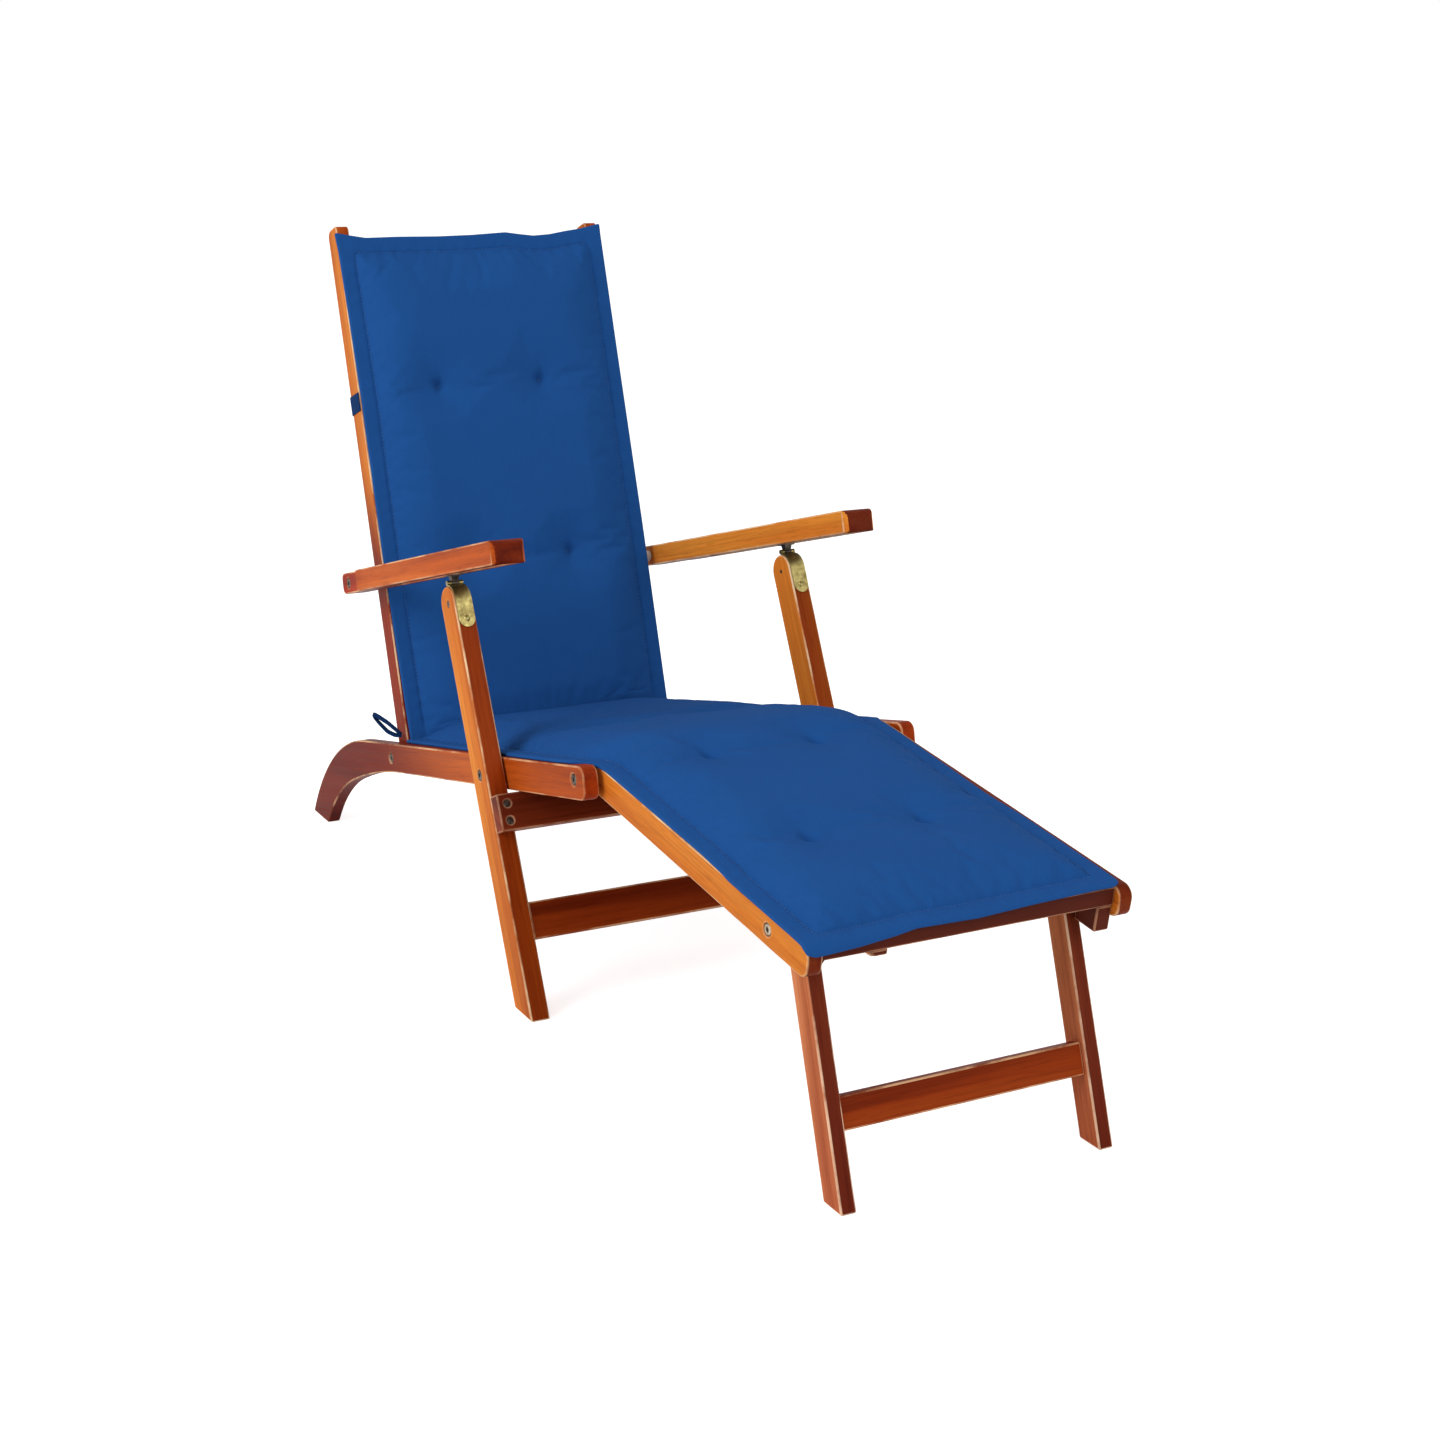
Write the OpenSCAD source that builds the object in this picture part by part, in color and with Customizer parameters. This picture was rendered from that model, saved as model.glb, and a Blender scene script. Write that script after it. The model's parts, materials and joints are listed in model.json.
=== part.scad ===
// Folding wooden lounge chair with a reclining back, a hinged footrest and a tufted cushion.
// X runs across the chair, +Y to the back, +Z up; the floor is z = 0.

/* [Seat frame] */
// Width over the outer faces of the two seat rails
seat_w = 512; // [470:2:560]
// Thickness of a seat rail
rail_t = 22; // [18:1:28]
// Depth of a seat rail's straight run
rail_h = 45; // [40:1:52]
// Rise of the seat towards the front, in degrees
seat_slope = 12.9; // [10:0.1:16]
// Height of the front leg bolt above the floor
pivot_z = 300; // [280:2:330]
// From the front leg bolt forward to the footrest bolt, along the rail
foot_hinge_fore = 242; // [230:2:270]
// Footrest bolt above the rail's middle line
foot_hinge_rise = 4; // [0:1:6]
// From the front leg bolt back to the backrest bolt, along the rail
back_hinge_aft = 435; // [420:1:460]
// Rail beyond the footrest bolt
rail_nose = 30; // [26:1:40]
// From the front leg bolt to where the tail starts to curve, along the rail
tail_start = 560; // [530:2:590]
// Outer radius of the tail's curve
tail_r = 382; // [360:2:410]
// Width of the tail at the floor
tail_w = 62; // [50:1:70]
// Radius that eases the rail's lower edge into the tail
tail_ease_r = 1150; // [900:10:1400]

/* [Front legs] */
// Thickness of a front leg
post_t = 28; // [24:1:34]
// Depth of a front leg
post_d = 50; // [44:1:56]
// Lean of a front leg to the back, in degrees
post_lean = 26.3; // [22:0.1:30]
// Gap between a front leg and the seat rail, filled by a washer
post_gap = 3; // [2:0.5:5]
// From the front leg bolt up to the centre of the rounded top
post_up = 246; // [236:1:250]
// Thickness of the crossbar on the legs' front faces
crossbar_t = 23; // [18:1:26]
// Height of that crossbar
crossbar_h = 52; // [44:1:60]
// Height of the lower stretcher
stretcher_h = 52; // [40:1:60]
// Thickness of the lower stretcher
stretcher_t = 20; // [16:1:22]
// From the front leg bolt down to the top of the lower stretcher
stretcher_down = 185; // [180:1:210]

/* [Backrest] */
// Thickness of a back stile
stile_t = 22; // [18:1:26]
// Depth of a back stile
stile_d = 40; // [36:1:46]
// Gap between a stile and the seat rail, filled by a washer
stile_gap = 2; // [1.5:0.5:3]
// Lean of the back, in degrees from upright
back_lean = 20.1; // [18:0.1:24]
// From the backrest bolt up to the top of a stile
back_up = 853; // [800:1:900]
// From the backrest bolt up to the armrest bolt
arm_bolt_up = 282; // [276:1:290]

/* [Armrests] */
// Width of an armrest
arm_w = 50; // [44:1:60]
// Width of its neck at the back
arm_neck_w = 36; // [30:1:40]
// Thickness of an armrest
arm_t = 33; // [28:1:34]
// Rise of an armrest towards the front, in degrees
arm_slope = 15.3; // [15:0.1:16]
// From the armrest bolt to the front end
arm_fore = 620; // [580:2:660]
// From the armrest bolt to the rear end
arm_aft = 28; // [24:1:36]
// Length of its neck
arm_neck_l = 90; // [70:1:110]
// Gap between an armrest and the stile, filled by a nylon spacer
arm_gap = 18; // [17:0.5:22]
// Depth of the channel under an armrest
channel_deep = 9.5; // [9:0.5:12]
// Thickness of the steel track that lines the channel
track_t = 3; // [2:0.5:4]
// Width of that track
track_w = 18; // [14:1:22]
// Distance between two notches of the track
notch_pitch = 37; // [30:1:42]
// Width of the brass hinge on top of a front leg
hinge_w = 24; // [20:1:26]
// Thickness of the hinge's plate
hinge_t = 2; // [1.5:0.5:3]
// Length of the hinge's plate down the front of the leg
hinge_down = 40; // [34:1:60]

/* [Footrest] */
// Thickness of a footrest rail
foot_rail_t = 20; // [16:1:24]
// Depth of a footrest rail
foot_rail_h = 40; // [36:1:46]
// Fall of the footrest towards the front, in degrees
foot_slope = 6.9; // [5:0.1:9]
// Gap between a footrest rail and the seat rail, filled by a spacer
foot_gap = 8; // [6:0.5:10]
// From the footrest bolt to the front end of its rails
foot_len = 532; // [500:2:560]
// From the front end of its rails back to the bolt of its legs
foot_leg_in = 88; // [84:1:100]
// Thickness of a footrest leg
leg_t = 21; // [18:1:24]
// Depth of a footrest leg
leg_d = 36; // [32:1:40]
// Lean of a footrest leg towards the front, in degrees
leg_lean = 19.3; // [16:0.1:22]
// Gap between a footrest leg and its rail, filled by a spacer
leg_gap = 13; // [12:0.5:16]
// Height of the stretcher between the footrest legs
leg_stretcher_h = 40; // [34:1:50]
// Thickness of that stretcher
leg_stretcher_t = 18; // [14:1:20]
// From the leg bolt down to the top of that stretcher
leg_stretcher_down = 198; // [180:1:220]
// Width of the stop block beside the right leg
stop_w = 22; // [20:1:24]
// How far that block reaches below the rail
stop_down = 18; // [14:1:36]
// Width of the small block under the front rail
catch_w = 26; // [20:1:34]
// How far the small block reaches below the front rail
catch_down = 8; // [5:1:14]
// From the chair's middle to the small block
catch_x = 112; // [90:1:130]

/* [Slats and cross rails] */
// Thickness of a slat
slat_t = 12; // [10:1:14]
// Width of a seat slat
seat_slat_w = 58; // [50:1:66]
// Width of a back slat
back_slat_w = 56; // [50:1:62]
// Width of a footrest slat
foot_slat_w = 50; // [44:1:54]
// How far a slat runs past the rails that it lies on
slat_past = 8; // [4:1:12]
// Thickness of the cross rails that the slats lie on
cross_t = 20; // [16:1:24]
// From the footrest bolt back to the seat's front cross rail
seat_front_in = 42; // [36:1:60]
// From the seat's rear cross rail to the backrest bolt
seat_rear_in = 63; // [50:1:90]
// Height of a cross rail in the backrest
back_cross_h = 45; // [36:1:56]
// From the backrest bolt up to the lower cross rail
back_cross_up = 48; // [40:1:60]
// From the upper cross rail to the tops of the stiles
back_cross_down = 24; // [14:1:40]
// From the footrest bolt forward to its rear cross rail
foot_cross_fore = 55; // [40:1:90]
// Thickness of the footrest's front rail
foot_front_t = 15; // [12:1:20]
// Height of the footrest's front rail
foot_front_h = 25; // [22:1:30]
// Set-back of that rail from the ends of the footrest's side rails
foot_front_in = 10; // [4:1:16]
// Width of the haunch under that rail's left end
haunch_w = 10; // [6:1:16]

/* [Fasteners] */
// Diameter of the hinge bolts
bolt_d = 8; // [6:1:10]
// Diameter of a bolt's head
bolt_head_d = 15; // [13:1:18]
// Thickness of a bolt's head
bolt_head_t = 4; // [3:0.5:5]
// Depth of a head below the wood's face
bolt_sink = 2; // [1:0.5:3]
// Radial clearance of a bolt in its hole
bolt_ease = 0.06; // [0.02:0.01:0.1]
// Radius of the screws in the front legs
screw_r = 2.5; // [2:0.5:3]
// Length of those screws
screw_l = 48; // [40:1:60]
// Length of a tenon
tenon_l = 12; // [8:1:15]
// Clearance round a tenon
tenon_ease = 0.1; // [0.05:0.05:0.3]

/* [Cushion] */
// Thickness of the cushion at its edges
pad_edge = 14; // [10:1:16]
// Crown of the cushion above its edges
pad_crown = 20; // [12:1:26]
// Depth of a sewn tuft
tuft_depth = 14; // [6:1:18]
// Set-in of the back cushion from the stiles' outer faces
back_pad_in = 0; // [0:1:8]
// Set-in of the seat cushion from the seat rails' outer faces
seat_pad_in = 12; // [6:1:20]
// How far the footrest cushion reaches past the footrest's rails
foot_pad_out = 4; // [0:1:6]
// Distance of the tufts from the cushion's middle line
tuft_x = 85; // [70:1:110]
// Distance between two rows of tufts
tuft_pitch = 274; // [250:2:290]
// From the back cushion's lower end up to its first row
back_tuft_up = 288; // [260:2:300]
// From the footrest bolt back to the seat cushion's row
seat_tuft_aft = 245; // [225:5:290]
// From the footrest bolt forward to the footrest cushion's first row
foot_tuft_fore = 34; // [30:1:60]
// How far the cushion's sides are drawn in
pad_waist = 5; // [2:1:8]
// Clearance under the cushion
pad_lift = 0.3; // [0.2:0.1:1]
// Thickness of the elastic strap
strap_t = 1.5; // [1:0.5:2]
// Width of the elastic strap
strap_w = 30; // [20:1:40]
// Height of the strap above the backrest bolt
strap_up = 552; // [500:1:600]

/* [Hidden] */

$fn = 48;
// Overshoot of a cut
over = 1;
// Clearance where pieces of different moving groups meet
stop_gap = 0.3;
// Clearance between a washer or spacer and the wood, and round its bolt
washer_ease = 0.1;
slat_count = 5;

// Places across the chair, right side
rail_o = seat_w / 2;
rail_i = rail_o - rail_t;
post_i = rail_o + post_gap;
post_o = post_i + post_t;
post_x = (post_i + post_o) / 2;
stile_o = rail_i - stile_gap;
stile_i = stile_o - stile_t;
foot_o = rail_i - foot_gap;
foot_i = foot_o - foot_rail_t;
leg_o = foot_i - leg_gap;
leg_i = leg_o - leg_t;
arm_i = stile_o + arm_gap;
arm_o = arm_i + arm_w;
neck_o = arm_i + arm_neck_w;

// A point given in a frame turned by a degrees about X, as [y, z]
function turned(p, a) = [p[0] * cos(a) - p[1] * sin(a), p[0] * sin(a) + p[1] * cos(a)];

foot_leg_fore = foot_len - foot_leg_in;
// Bolt places as [y, z], with y = 0 at the front edge of the front legs on the floor
front_leg_bolt = [post_d / 2 / cos(post_lean) + pivot_z * tan(post_lean), pivot_z];
footrest_bolt = front_leg_bolt + turned([-foot_hinge_fore, foot_hinge_rise], -seat_slope);
backrest_bolt = front_leg_bolt + turned([back_hinge_aft, 0], -seat_slope);
armrest_bolt = backrest_bolt + turned([0, arm_bolt_up], -back_lean);
leg_bolt = footrest_bolt + turned([-foot_leg_fore, 0], foot_slope);

// The tail: centre of its curve and where it meets the floor
tail_c = front_leg_bolt + turned([tail_start, rail_h / 2 - tail_r], -seat_slope);
tail_y = tail_c[0] + sqrt(tail_r * tail_r - tail_c[1] * tail_c[1]);
leg_foot_y = leg_bolt[0] - leg_bolt[1] * tan(leg_lean) - leg_d / 2 / cos(leg_lean);
// The origin lies under the middle of the chair's length
mid_y = (tail_y + leg_foot_y) / 2;

module at(bolt, a) { translate([0, bolt[0] - mid_y, bolt[1]]) rotate([a, 0, 0]) children(); }
module in_seat() { at(front_leg_bolt, -seat_slope) children(); }
module in_post() { at(front_leg_bolt, -post_lean) children(); }
module in_back() { at(backrest_bolt, -back_lean) children(); }
module in_arm() { at(armrest_bolt, -arm_slope) children(); }
module in_foot() { at(footrest_bolt, foot_slope) children(); }
module in_leg() { at(leg_bolt, -leg_lean) children(); }

module left() { mirror([1, 0, 0]) children(); }
module both() {
    children();
    left() children();
}
// A flat outline drawn in Y and Z, made a board between two places across the chair
module board(x0, x1) {
    translate([x0, 0, 0]) rotate([90, 0, 90]) linear_extrude(height = x1 - x0) children();
}
module box(lo, hi) { translate(lo) cube(hi - lo); }
module rod(x0, x1, r) { translate([x0, 0, 0]) rotate([0, 90, 0]) cylinder(h = x1 - x0, r = r); }
module above_floor(bolt, a) { rotate(-a) translate([-2000, -bolt[1]]) square([4000, 3000]); }
function arc(c, r, a0, a1, n = 12) =
    [for (i = [0 : n]) let (a = a0 + (a1 - a0) * i / n) [c[0] + r * cos(a), c[1] + r * sin(a)]];
// A rectangle with a radius at each corner: rear top, front top, front bottom, rear bottom
module rounded(y0, y1, z0, z1, r) {
    polygon(concat(arc([y1 - r[0], z1 - r[0]], r[0], 0, 90), arc([y0 + r[1], z1 - r[1]], r[1], 90, 180),
        arc([y0 + r[2], z0 + r[2]], r[2], 180, 270), arc([y1 - r[3], z0 + r[3]], r[3], 270, 360)));
}

// Colours
module wood() { color([0.72, 0.38, 0.16]) children(); }
module dark_wood() { color([0.50, 0.22, 0.11]) children(); }
module steel() { color([0.25, 0.24, 0.23]) children(); }
module brass() { color([0.62, 0.56, 0.33]) children(); }
module nylon() { color([0.85, 0.82, 0.75]) children(); }
module fabric() { color([0.12, 0.31, 0.56]) children(); }

// A bar between two side members, with a tenon into each: s is [y0, y1, z0, z1]
tenon_shoulder = 4;
module tenons(half, s, ease) {
    m = tenon_shoulder - ease;
    box([-half - tenon_l - ease, s[0] + m, s[2] + m], [half + tenon_l + ease, s[1] - m, s[3] - m]);
}
module bar(half, s) {
    box([-half, s[0], s[2]], [half, s[1], s[3]]);
    tenons(half, s, 0);
}

// A hinge bolt whose head lies sunk at x1 and whose end is flush at x0
bolt_r = bolt_d / 2;
module bolt(x0, x1) {
    rod(x0, x1 - bolt_sink - bolt_head_t / 2, bolt_r);
    rod(x1 - bolt_sink - bolt_head_t, x1 - bolt_sink, bolt_head_d / 2);
}
module bolt_hole(x0, x1) { rod(x0 - over, x1 + over, bolt_r + bolt_ease); }
// The sunk place of a head; lift keeps a head of another body off its floor
module head_hole(x1, lift) { rod(x1 - bolt_sink - bolt_head_t - lift, x1 + over, bolt_head_d / 2 + 0.4); }

// Seat frame
seat_top = rail_h / 2;
seat_cross_z = 2 - rail_h / 2;
seat_front_y = seat_front_in - foot_hinge_fore;
seat_rear_y = back_hinge_aft - seat_rear_in;
seat_front_s = [seat_front_y, seat_front_y + cross_t, seat_cross_z, seat_top - slat_t];
seat_rear_s = [seat_rear_y - cross_t, seat_rear_y, seat_cross_z, seat_top - slat_t];
nose_r = 14;
tail_cl = [tail_start, rail_h / 2 - tail_r];
tail_ri = tail_r - tail_w;
ease_start = tail_start - sqrt(pow(tail_ease_r - tail_ri, 2) - pow(rail_h - tail_r + tail_ease_r, 2));
ease_a = atan((tail_start - ease_start) / (rail_h - tail_r + tail_ease_r));
tail_end_a = 15;
module seat_rail_outline() {
    front = -foot_hinge_fore - rail_nose;
    intersection() {
        polygon(concat(
            arc([front + nose_r, rail_h / 2 - nose_r], nose_r, 180, 90, 8),
            arc(tail_cl, tail_r, 90, tail_end_a, 24),
            arc(tail_cl, tail_ri, tail_end_a, 90 - ease_a, 20),
            arc([ease_start, -rail_h / 2 - tail_ease_r], tail_ease_r, 90 - ease_a, 90, 6),
            arc([front + nose_r, nose_r - rail_h / 2], nose_r, 270, 180, 8)));
        above_floor(front_leg_bolt, -seat_slope);
    }
}
module seat_rail() wood() in_seat() difference() {
    board(rail_i, rail_o) seat_rail_outline();
    tenons(rail_i, seat_front_s, tenon_ease);
    tenons(rail_i, seat_rear_s, tenon_ease);
    bolt_hole(rail_i, rail_o);
    for (p = [[-foot_hinge_fore, foot_hinge_rise], [back_hinge_aft, 0]]) translate([0, p[0], p[1]]) {
        bolt_hole(rail_i, rail_o);
        head_hole(rail_o, 0);
    }
}
module seat_front_rail() wood() in_seat() bar(rail_i, seat_front_s);
module seat_rear_rail() wood() in_seat() bar(rail_i, seat_rear_s);
// Slats side by side: the i-th of slat_count, w wide, over a clear width of 2 * half
function slat_x(i, w, half) = -half + (i - 0.5) * 2 * half / slat_count - w / 2;
module seat_slat(i) wood() in_seat() {
    x = slat_x(i, seat_slat_w, rail_i - 6);
    box([x, seat_front_y - slat_past, seat_top - slat_t],
        [x + seat_slat_w, seat_rear_y + slat_past, seat_top]);
}
module front_leg_bolts() steel() in_seat() both() bolt(rail_i, post_o);
module footrest_bolts() steel() in_seat() translate([0, -foot_hinge_fore, foot_hinge_rise])
    both() bolt(foot_i, rail_o);
module backrest_bolts() steel() in_seat() translate([0, back_hinge_aft, 0]) both() bolt(stile_i, rail_o);

// Front legs, joined by a crossbar that stops under the seat rails and by a lower stretcher
post_r = post_d / 2;
crossbar_y = -post_r - crossbar_t;
stop_a = post_lean - seat_slope;
crossbar_top = (-rail_h / 2 - stop_gap + crossbar_y * sin(stop_a)) / cos(stop_a);
stretcher_s = [-post_r + 3, -post_r + 3 + stretcher_t, -stretcher_down - stretcher_h, -stretcher_down];
screw_head_r = 2 * screw_r;
screw_head_t = 3;
screw_sink = 2;
side_screw_l = 20;
// Two screws hold each end of the crossbar, and one stands across the top of each leg
module crossbar_screw_places() {
    for (z = [0.27, 0.73]) both() translate([post_x, crossbar_y, crossbar_top - crossbar_h * z])
        rotate([-90, 0, 0]) children();
}
module side_screw_place() { translate([post_o, 0, post_up]) rotate([0, -90, 0]) children(); }
// A screw that runs up Z from its head, sunk below z = 0
module screw(l) {
    translate([0, 0, screw_sink]) cylinder(h = screw_head_t, r = screw_head_r);
    translate([0, 0, screw_sink]) cylinder(h = l, r = screw_r);
}
module screw_hole(l) {
    translate([0, 0, -over]) cylinder(h = screw_sink + screw_head_t + over, r = screw_head_r + 0.2);
    translate([0, 0, -over]) cylinder(h = screw_sink + l + over, r = screw_r + bolt_ease);
}
hinge_ease = 0.2;
hinge_screw_r = 2;
hinge_screw_l = 18;
module front_leg() wood() in_post() difference() {
    intersection() {
        board(post_i, post_o) union() {
            translate([-post_r, -500]) square([post_d, 500 + post_up]);
            translate([0, post_up]) circle(r = post_r);
        }
        rotate([post_lean, 0, 0]) translate([0, -1000, -front_leg_bolt[1]]) cube([1000, 2000, 2000]);
    }
    bolt_hole(post_i, post_o);
    head_hole(post_o, stop_gap);
    tenons(post_i, stretcher_s, tenon_ease);
    crossbar_screw_places() screw_hole(screw_l);
    side_screw_place() screw_hole(side_screw_l);
    hinge_screw_place() cylinder(h = hinge_screw_l + over, r = hinge_screw_r + bolt_ease);
}
module front_crossbar() dark_wood() in_post() difference() {
    box([-post_o, crossbar_y, crossbar_top - crossbar_h], [post_o, -post_r, crossbar_top]);
    crossbar_screw_places() screw_hole(screw_l);
}
module lower_stretcher() wood() in_post() bar(post_i, stretcher_s);
module front_leg_screws() steel() in_post() {
    crossbar_screw_places() screw(screw_l);
    both() side_screw_place() screw(side_screw_l);
}
// A washer or spacer of radius r round a bolt, between two pieces at x0 and x1
module washer(x0, x1, r) {
    difference() {
        rod(x0 + washer_ease, x1 - washer_ease, r);
        rod(x0 - over, x1 + over, bolt_r + washer_ease);
    }
}
washer_r = 11;
spacer_r = 9;
foot_spacer_r = 10;
module front_leg_washers() steel() in_post() both() washer(rail_o, post_i, washer_r);

// Hinge of brass on each leg's top, with a steel hook that bears on the armrest's track
knuckle_r = 3.5;
knuckle_out = post_r + 4.5;
hinge_pin_r = 1.5;
knuckle_gap = 0.5;
barrel_half = 5.5;
wrap_r = post_r + hinge_ease;
// Direction from the rounded top to the knuckle: square to the armrest
knuckle_a = 90 - arm_slope + post_lean;
hinge_pin = front_leg_bolt + turned([0, post_up], -post_lean)
    + knuckle_out * [cos(90 - arm_slope), sin(90 - arm_slope)];
module knuckle() {
    translate([0, knuckle_out * cos(knuckle_a), post_up + knuckle_out * sin(knuckle_a)]) children();
}
module hinge_screw_place() {
    translate([post_x, -wrap_r - hinge_t, post_up - hinge_down + hinge_w / 2]) rotate([-90, 0, 0]) children();
}
// The plate is round at its lower end and wraps over the leg's top as far as the knuckle
module hinge_plate() {
    linear_extrude(height = hinge_t) {
        circle(r = hinge_w / 2);
        translate([-hinge_w / 2, hinge_w / 2 - hinge_down]) square([hinge_w, hinge_down - hinge_w / 2]);
    }
}
module hinge_wrap() {
    translate([0, 0, post_up]) board(post_x - hinge_w / 2, post_x + hinge_w / 2) difference() {
        circle(r = wrap_r + hinge_t);
        circle(r = wrap_r);
        translate([-100, -200 - over / 2]) square(200);
        rotate(knuckle_a) translate([-200, -200]) square([400, 200]);
    }
}
module arm_hinge() brass() in_post() difference() {
    union() {
        hinge_screw_place() hinge_plate();
        hinge_wrap();
        knuckle() rod(post_x - hinge_w / 2, post_x + hinge_w / 2, knuckle_r);
    }
    free = barrel_half + knuckle_gap;
    knuckle() rod(post_x - free, post_x + free, knuckle_r + knuckle_gap);
    knuckle() rod(post_x - hinge_w, post_x + hinge_w, hinge_pin_r + bolt_ease);
    hinge_screw_place() translate([0, 0, -over])
        cylinder(h = 2 * over + hinge_t, r = hinge_screw_r + bolt_ease);
}
// A domed head on each screw of the hinge
dome_r = 5.5;
dome_sunk = 3;
module arm_hinge_screws() brass() in_post() both() hinge_screw_place() {
    cylinder(h = hinge_screw_l, r = hinge_screw_r);
    rotate([180, 0, 0]) rotate_extrude() intersection() {
        translate([0, -dome_sunk]) circle(r = dome_r);
        square(dome_r - over);
    }
}
// The hook's head reaches up to the armrest's underside, so that it swings out along the channel
hook_t = 2;
hook_l = 18;
module arm_hook() steel() translate([0, hinge_pin[0] - mid_y, hinge_pin[1]]) rotate([-arm_slope, 0, 0]) {
    top = arm_under - stop_gap;
    rod(post_x - barrel_half, post_x + barrel_half, knuckle_r);
    rod(post_x - hinge_w / 2, post_x + hinge_w / 2, hinge_pin_r);
    low = knuckle_r - over;
    high = hook_l / 2 - hook_t;
    board(post_x - barrel_half, post_x + barrel_half)
        polygon([[-low, over], [low, over], [high, top - over], [-high, top - over]]);
    box([post_x - track_w / 2, -hook_l / 2, top - hook_t], [post_x + track_w / 2, hook_l / 2, top]);
}

// Backrest
back_front = -stile_d / 2;
back_cross_y = back_front + slat_t;
back_top_z = back_up - back_cross_down;
back_low_s = [back_cross_y, back_cross_y + cross_t, back_cross_up, back_cross_up + back_cross_h];
back_top_s = [back_cross_y, back_cross_y + cross_t, back_top_z - back_cross_h, back_top_z];
module back_stile() wood() in_back() difference() {
    board(stile_i, stile_o) union() {
        circle(r = stile_d / 2);
        rounded(-stile_d / 2, stile_d / 2, 0, back_up, [12, 8, 0.1, 0.1]);
    }
    tenons(stile_i, back_low_s, tenon_ease);
    tenons(stile_i, back_top_s, tenon_ease);
    bolt_hole(stile_i, stile_o);
    translate([0, 0, arm_bolt_up]) bolt_hole(stile_i, stile_o);
}
module back_top_rail() wood() in_back() bar(stile_i, back_top_s);
module back_lower_rail() wood() in_back() bar(stile_i, back_low_s);
module back_slat(i) wood() in_back() {
    x = slat_x(i, back_slat_w, stile_i - 2);
    box([x, back_front, back_cross_up - slat_past],
        [x + back_slat_w, back_cross_y, back_top_z]);
}
// The strap runs round the sides and the rear of the back's frame
module cushion_strap() fabric() in_back() difference() {
    side = stile_o + stop_gap;
    rear = stile_d / 2 + stop_gap;
    box([-side - strap_t, back_front, strap_up], [side + strap_t, rear + strap_t, strap_up + strap_w]);
    box([-side, back_front - over, strap_up - over], [side, rear, strap_up + strap_w + over]);
}

// Armrests, each with a channel underneath that holds the track and lets the hook pass
arm_half = arm_t / 2;
channel_half = track_w / 2 + 2;
channel_wall = 8;
arm_nose_r = 14;
neck_r = arm_w - arm_neck_w;
neck_fore = arm_neck_l - arm_aft;
module arm_plan() {
    difference() {
        rounded(arm_i, arm_o, -arm_fore, arm_aft, [3, 3, 12, 10]);
        translate([neck_o, -neck_fore]) square([neck_r + 1, neck_fore + arm_aft + 1]);
        translate([arm_o, -neck_fore]) circle(r = neck_r);
    }
}
module armrest() wood() in_arm() difference() {
    intersection() {
        translate([0, 0, -arm_half]) linear_extrude(height = arm_t) arm_plan();
        board(arm_i - over, arm_o + over)
            rounded(-arm_fore, arm_aft, -arm_half, arm_half, [10, arm_nose_r, 5, 10]);
    }
    box([post_x - channel_half, channel_wall - arm_fore, -arm_half - over],
        [post_x + channel_half, channel_wall - track_aft, channel_deep - arm_half]);
    bolt_hole(arm_i, neck_o);
    head_hole(neck_o, stop_gap);
}
module arm_bolts() steel() in_arm() both() bolt(stile_i, neck_o);
module arm_spacers() nylon() in_arm() both() washer(stile_o, arm_i, spacer_r);
// From the hinge pin square up to the armrest's underside, and along to its bolt
arm_under = (armrest_bolt - hinge_pin) * turned([0, 1], -arm_slope) - arm_half;
pin_fore = (armrest_bolt - hinge_pin) * turned([1, 0], -arm_slope);
track_fore = pin_fore + 150;
track_aft = pin_fore - 230;
notch_w = 6;
notch_deep = 1.2;
// A shallow notch across the track marks each place of the hook, the rearmost for the back fully up
module arm_track() steel() in_arm() difference() {
    low = channel_deep - arm_half - track_t;
    box([post_x - track_w / 2, -track_fore, low], [post_x + track_w / 2, -track_aft, low + track_t]);
    for (i = [0 : 3]) translate([post_x - track_w, -pin_fore - i * notch_pitch - notch_w / 2, low - over])
        cube([2 * track_w, notch_w, over + notch_deep]);
}

// Footrest
foot_top = foot_rail_h / 2;
foot_front_y = foot_front_in - foot_len;
foot_front_s = [foot_front_y, foot_front_y + foot_front_t, foot_top - foot_front_h, foot_top];
foot_ledge = 15;
foot_rear_s = [-foot_cross_fore - cross_t, -foot_cross_fore, 4 - foot_top, foot_top - slat_t];
module footrest_rail() wood() in_foot() difference() {
    board(foot_i, foot_o) union() {
        circle(r = foot_rail_h / 2);
        rounded(-foot_len, 0, -foot_rail_h / 2, foot_rail_h / 2, [0.1, 16, 14, 0.1]);
    }
    tenons(foot_i, foot_front_s, tenon_ease);
    tenons(foot_i, foot_rear_s, tenon_ease);
    bolt_hole(foot_i, foot_o);
    translate([0, -foot_leg_fore, 0]) {
        bolt_hole(foot_i, foot_o);
        head_hole(foot_o, 0);
    }
}
// The front rail has a ledge behind it that carries the slats, and a haunch under its left end
haunch_down = 14;
module footrest_front_rail() dark_wood() in_foot() {
    bar(foot_i, foot_front_s);
    box([-foot_i, foot_front_s[1], foot_front_s[2]],
        [foot_i, foot_front_s[1] + foot_ledge, foot_top - slat_t]);
    translate([-foot_i, foot_front_s[1], foot_front_s[2]]) rotate([90, 0, 0])
        linear_extrude(height = foot_front_t)
            polygon([[0, over], [0, -haunch_down], [haunch_w, 0], [haunch_w, over]]);
}
module footrest_rear_rail() wood() in_foot() bar(foot_i, foot_rear_s);
module footrest_slat(i) wood() in_foot() {
    x = slat_x(i, foot_slat_w, leg_i - 2);
    box([x, foot_front_s[1], foot_top - slat_t], [x + foot_slat_w, foot_rear_s[1] + slat_past, foot_top]);
}
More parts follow.
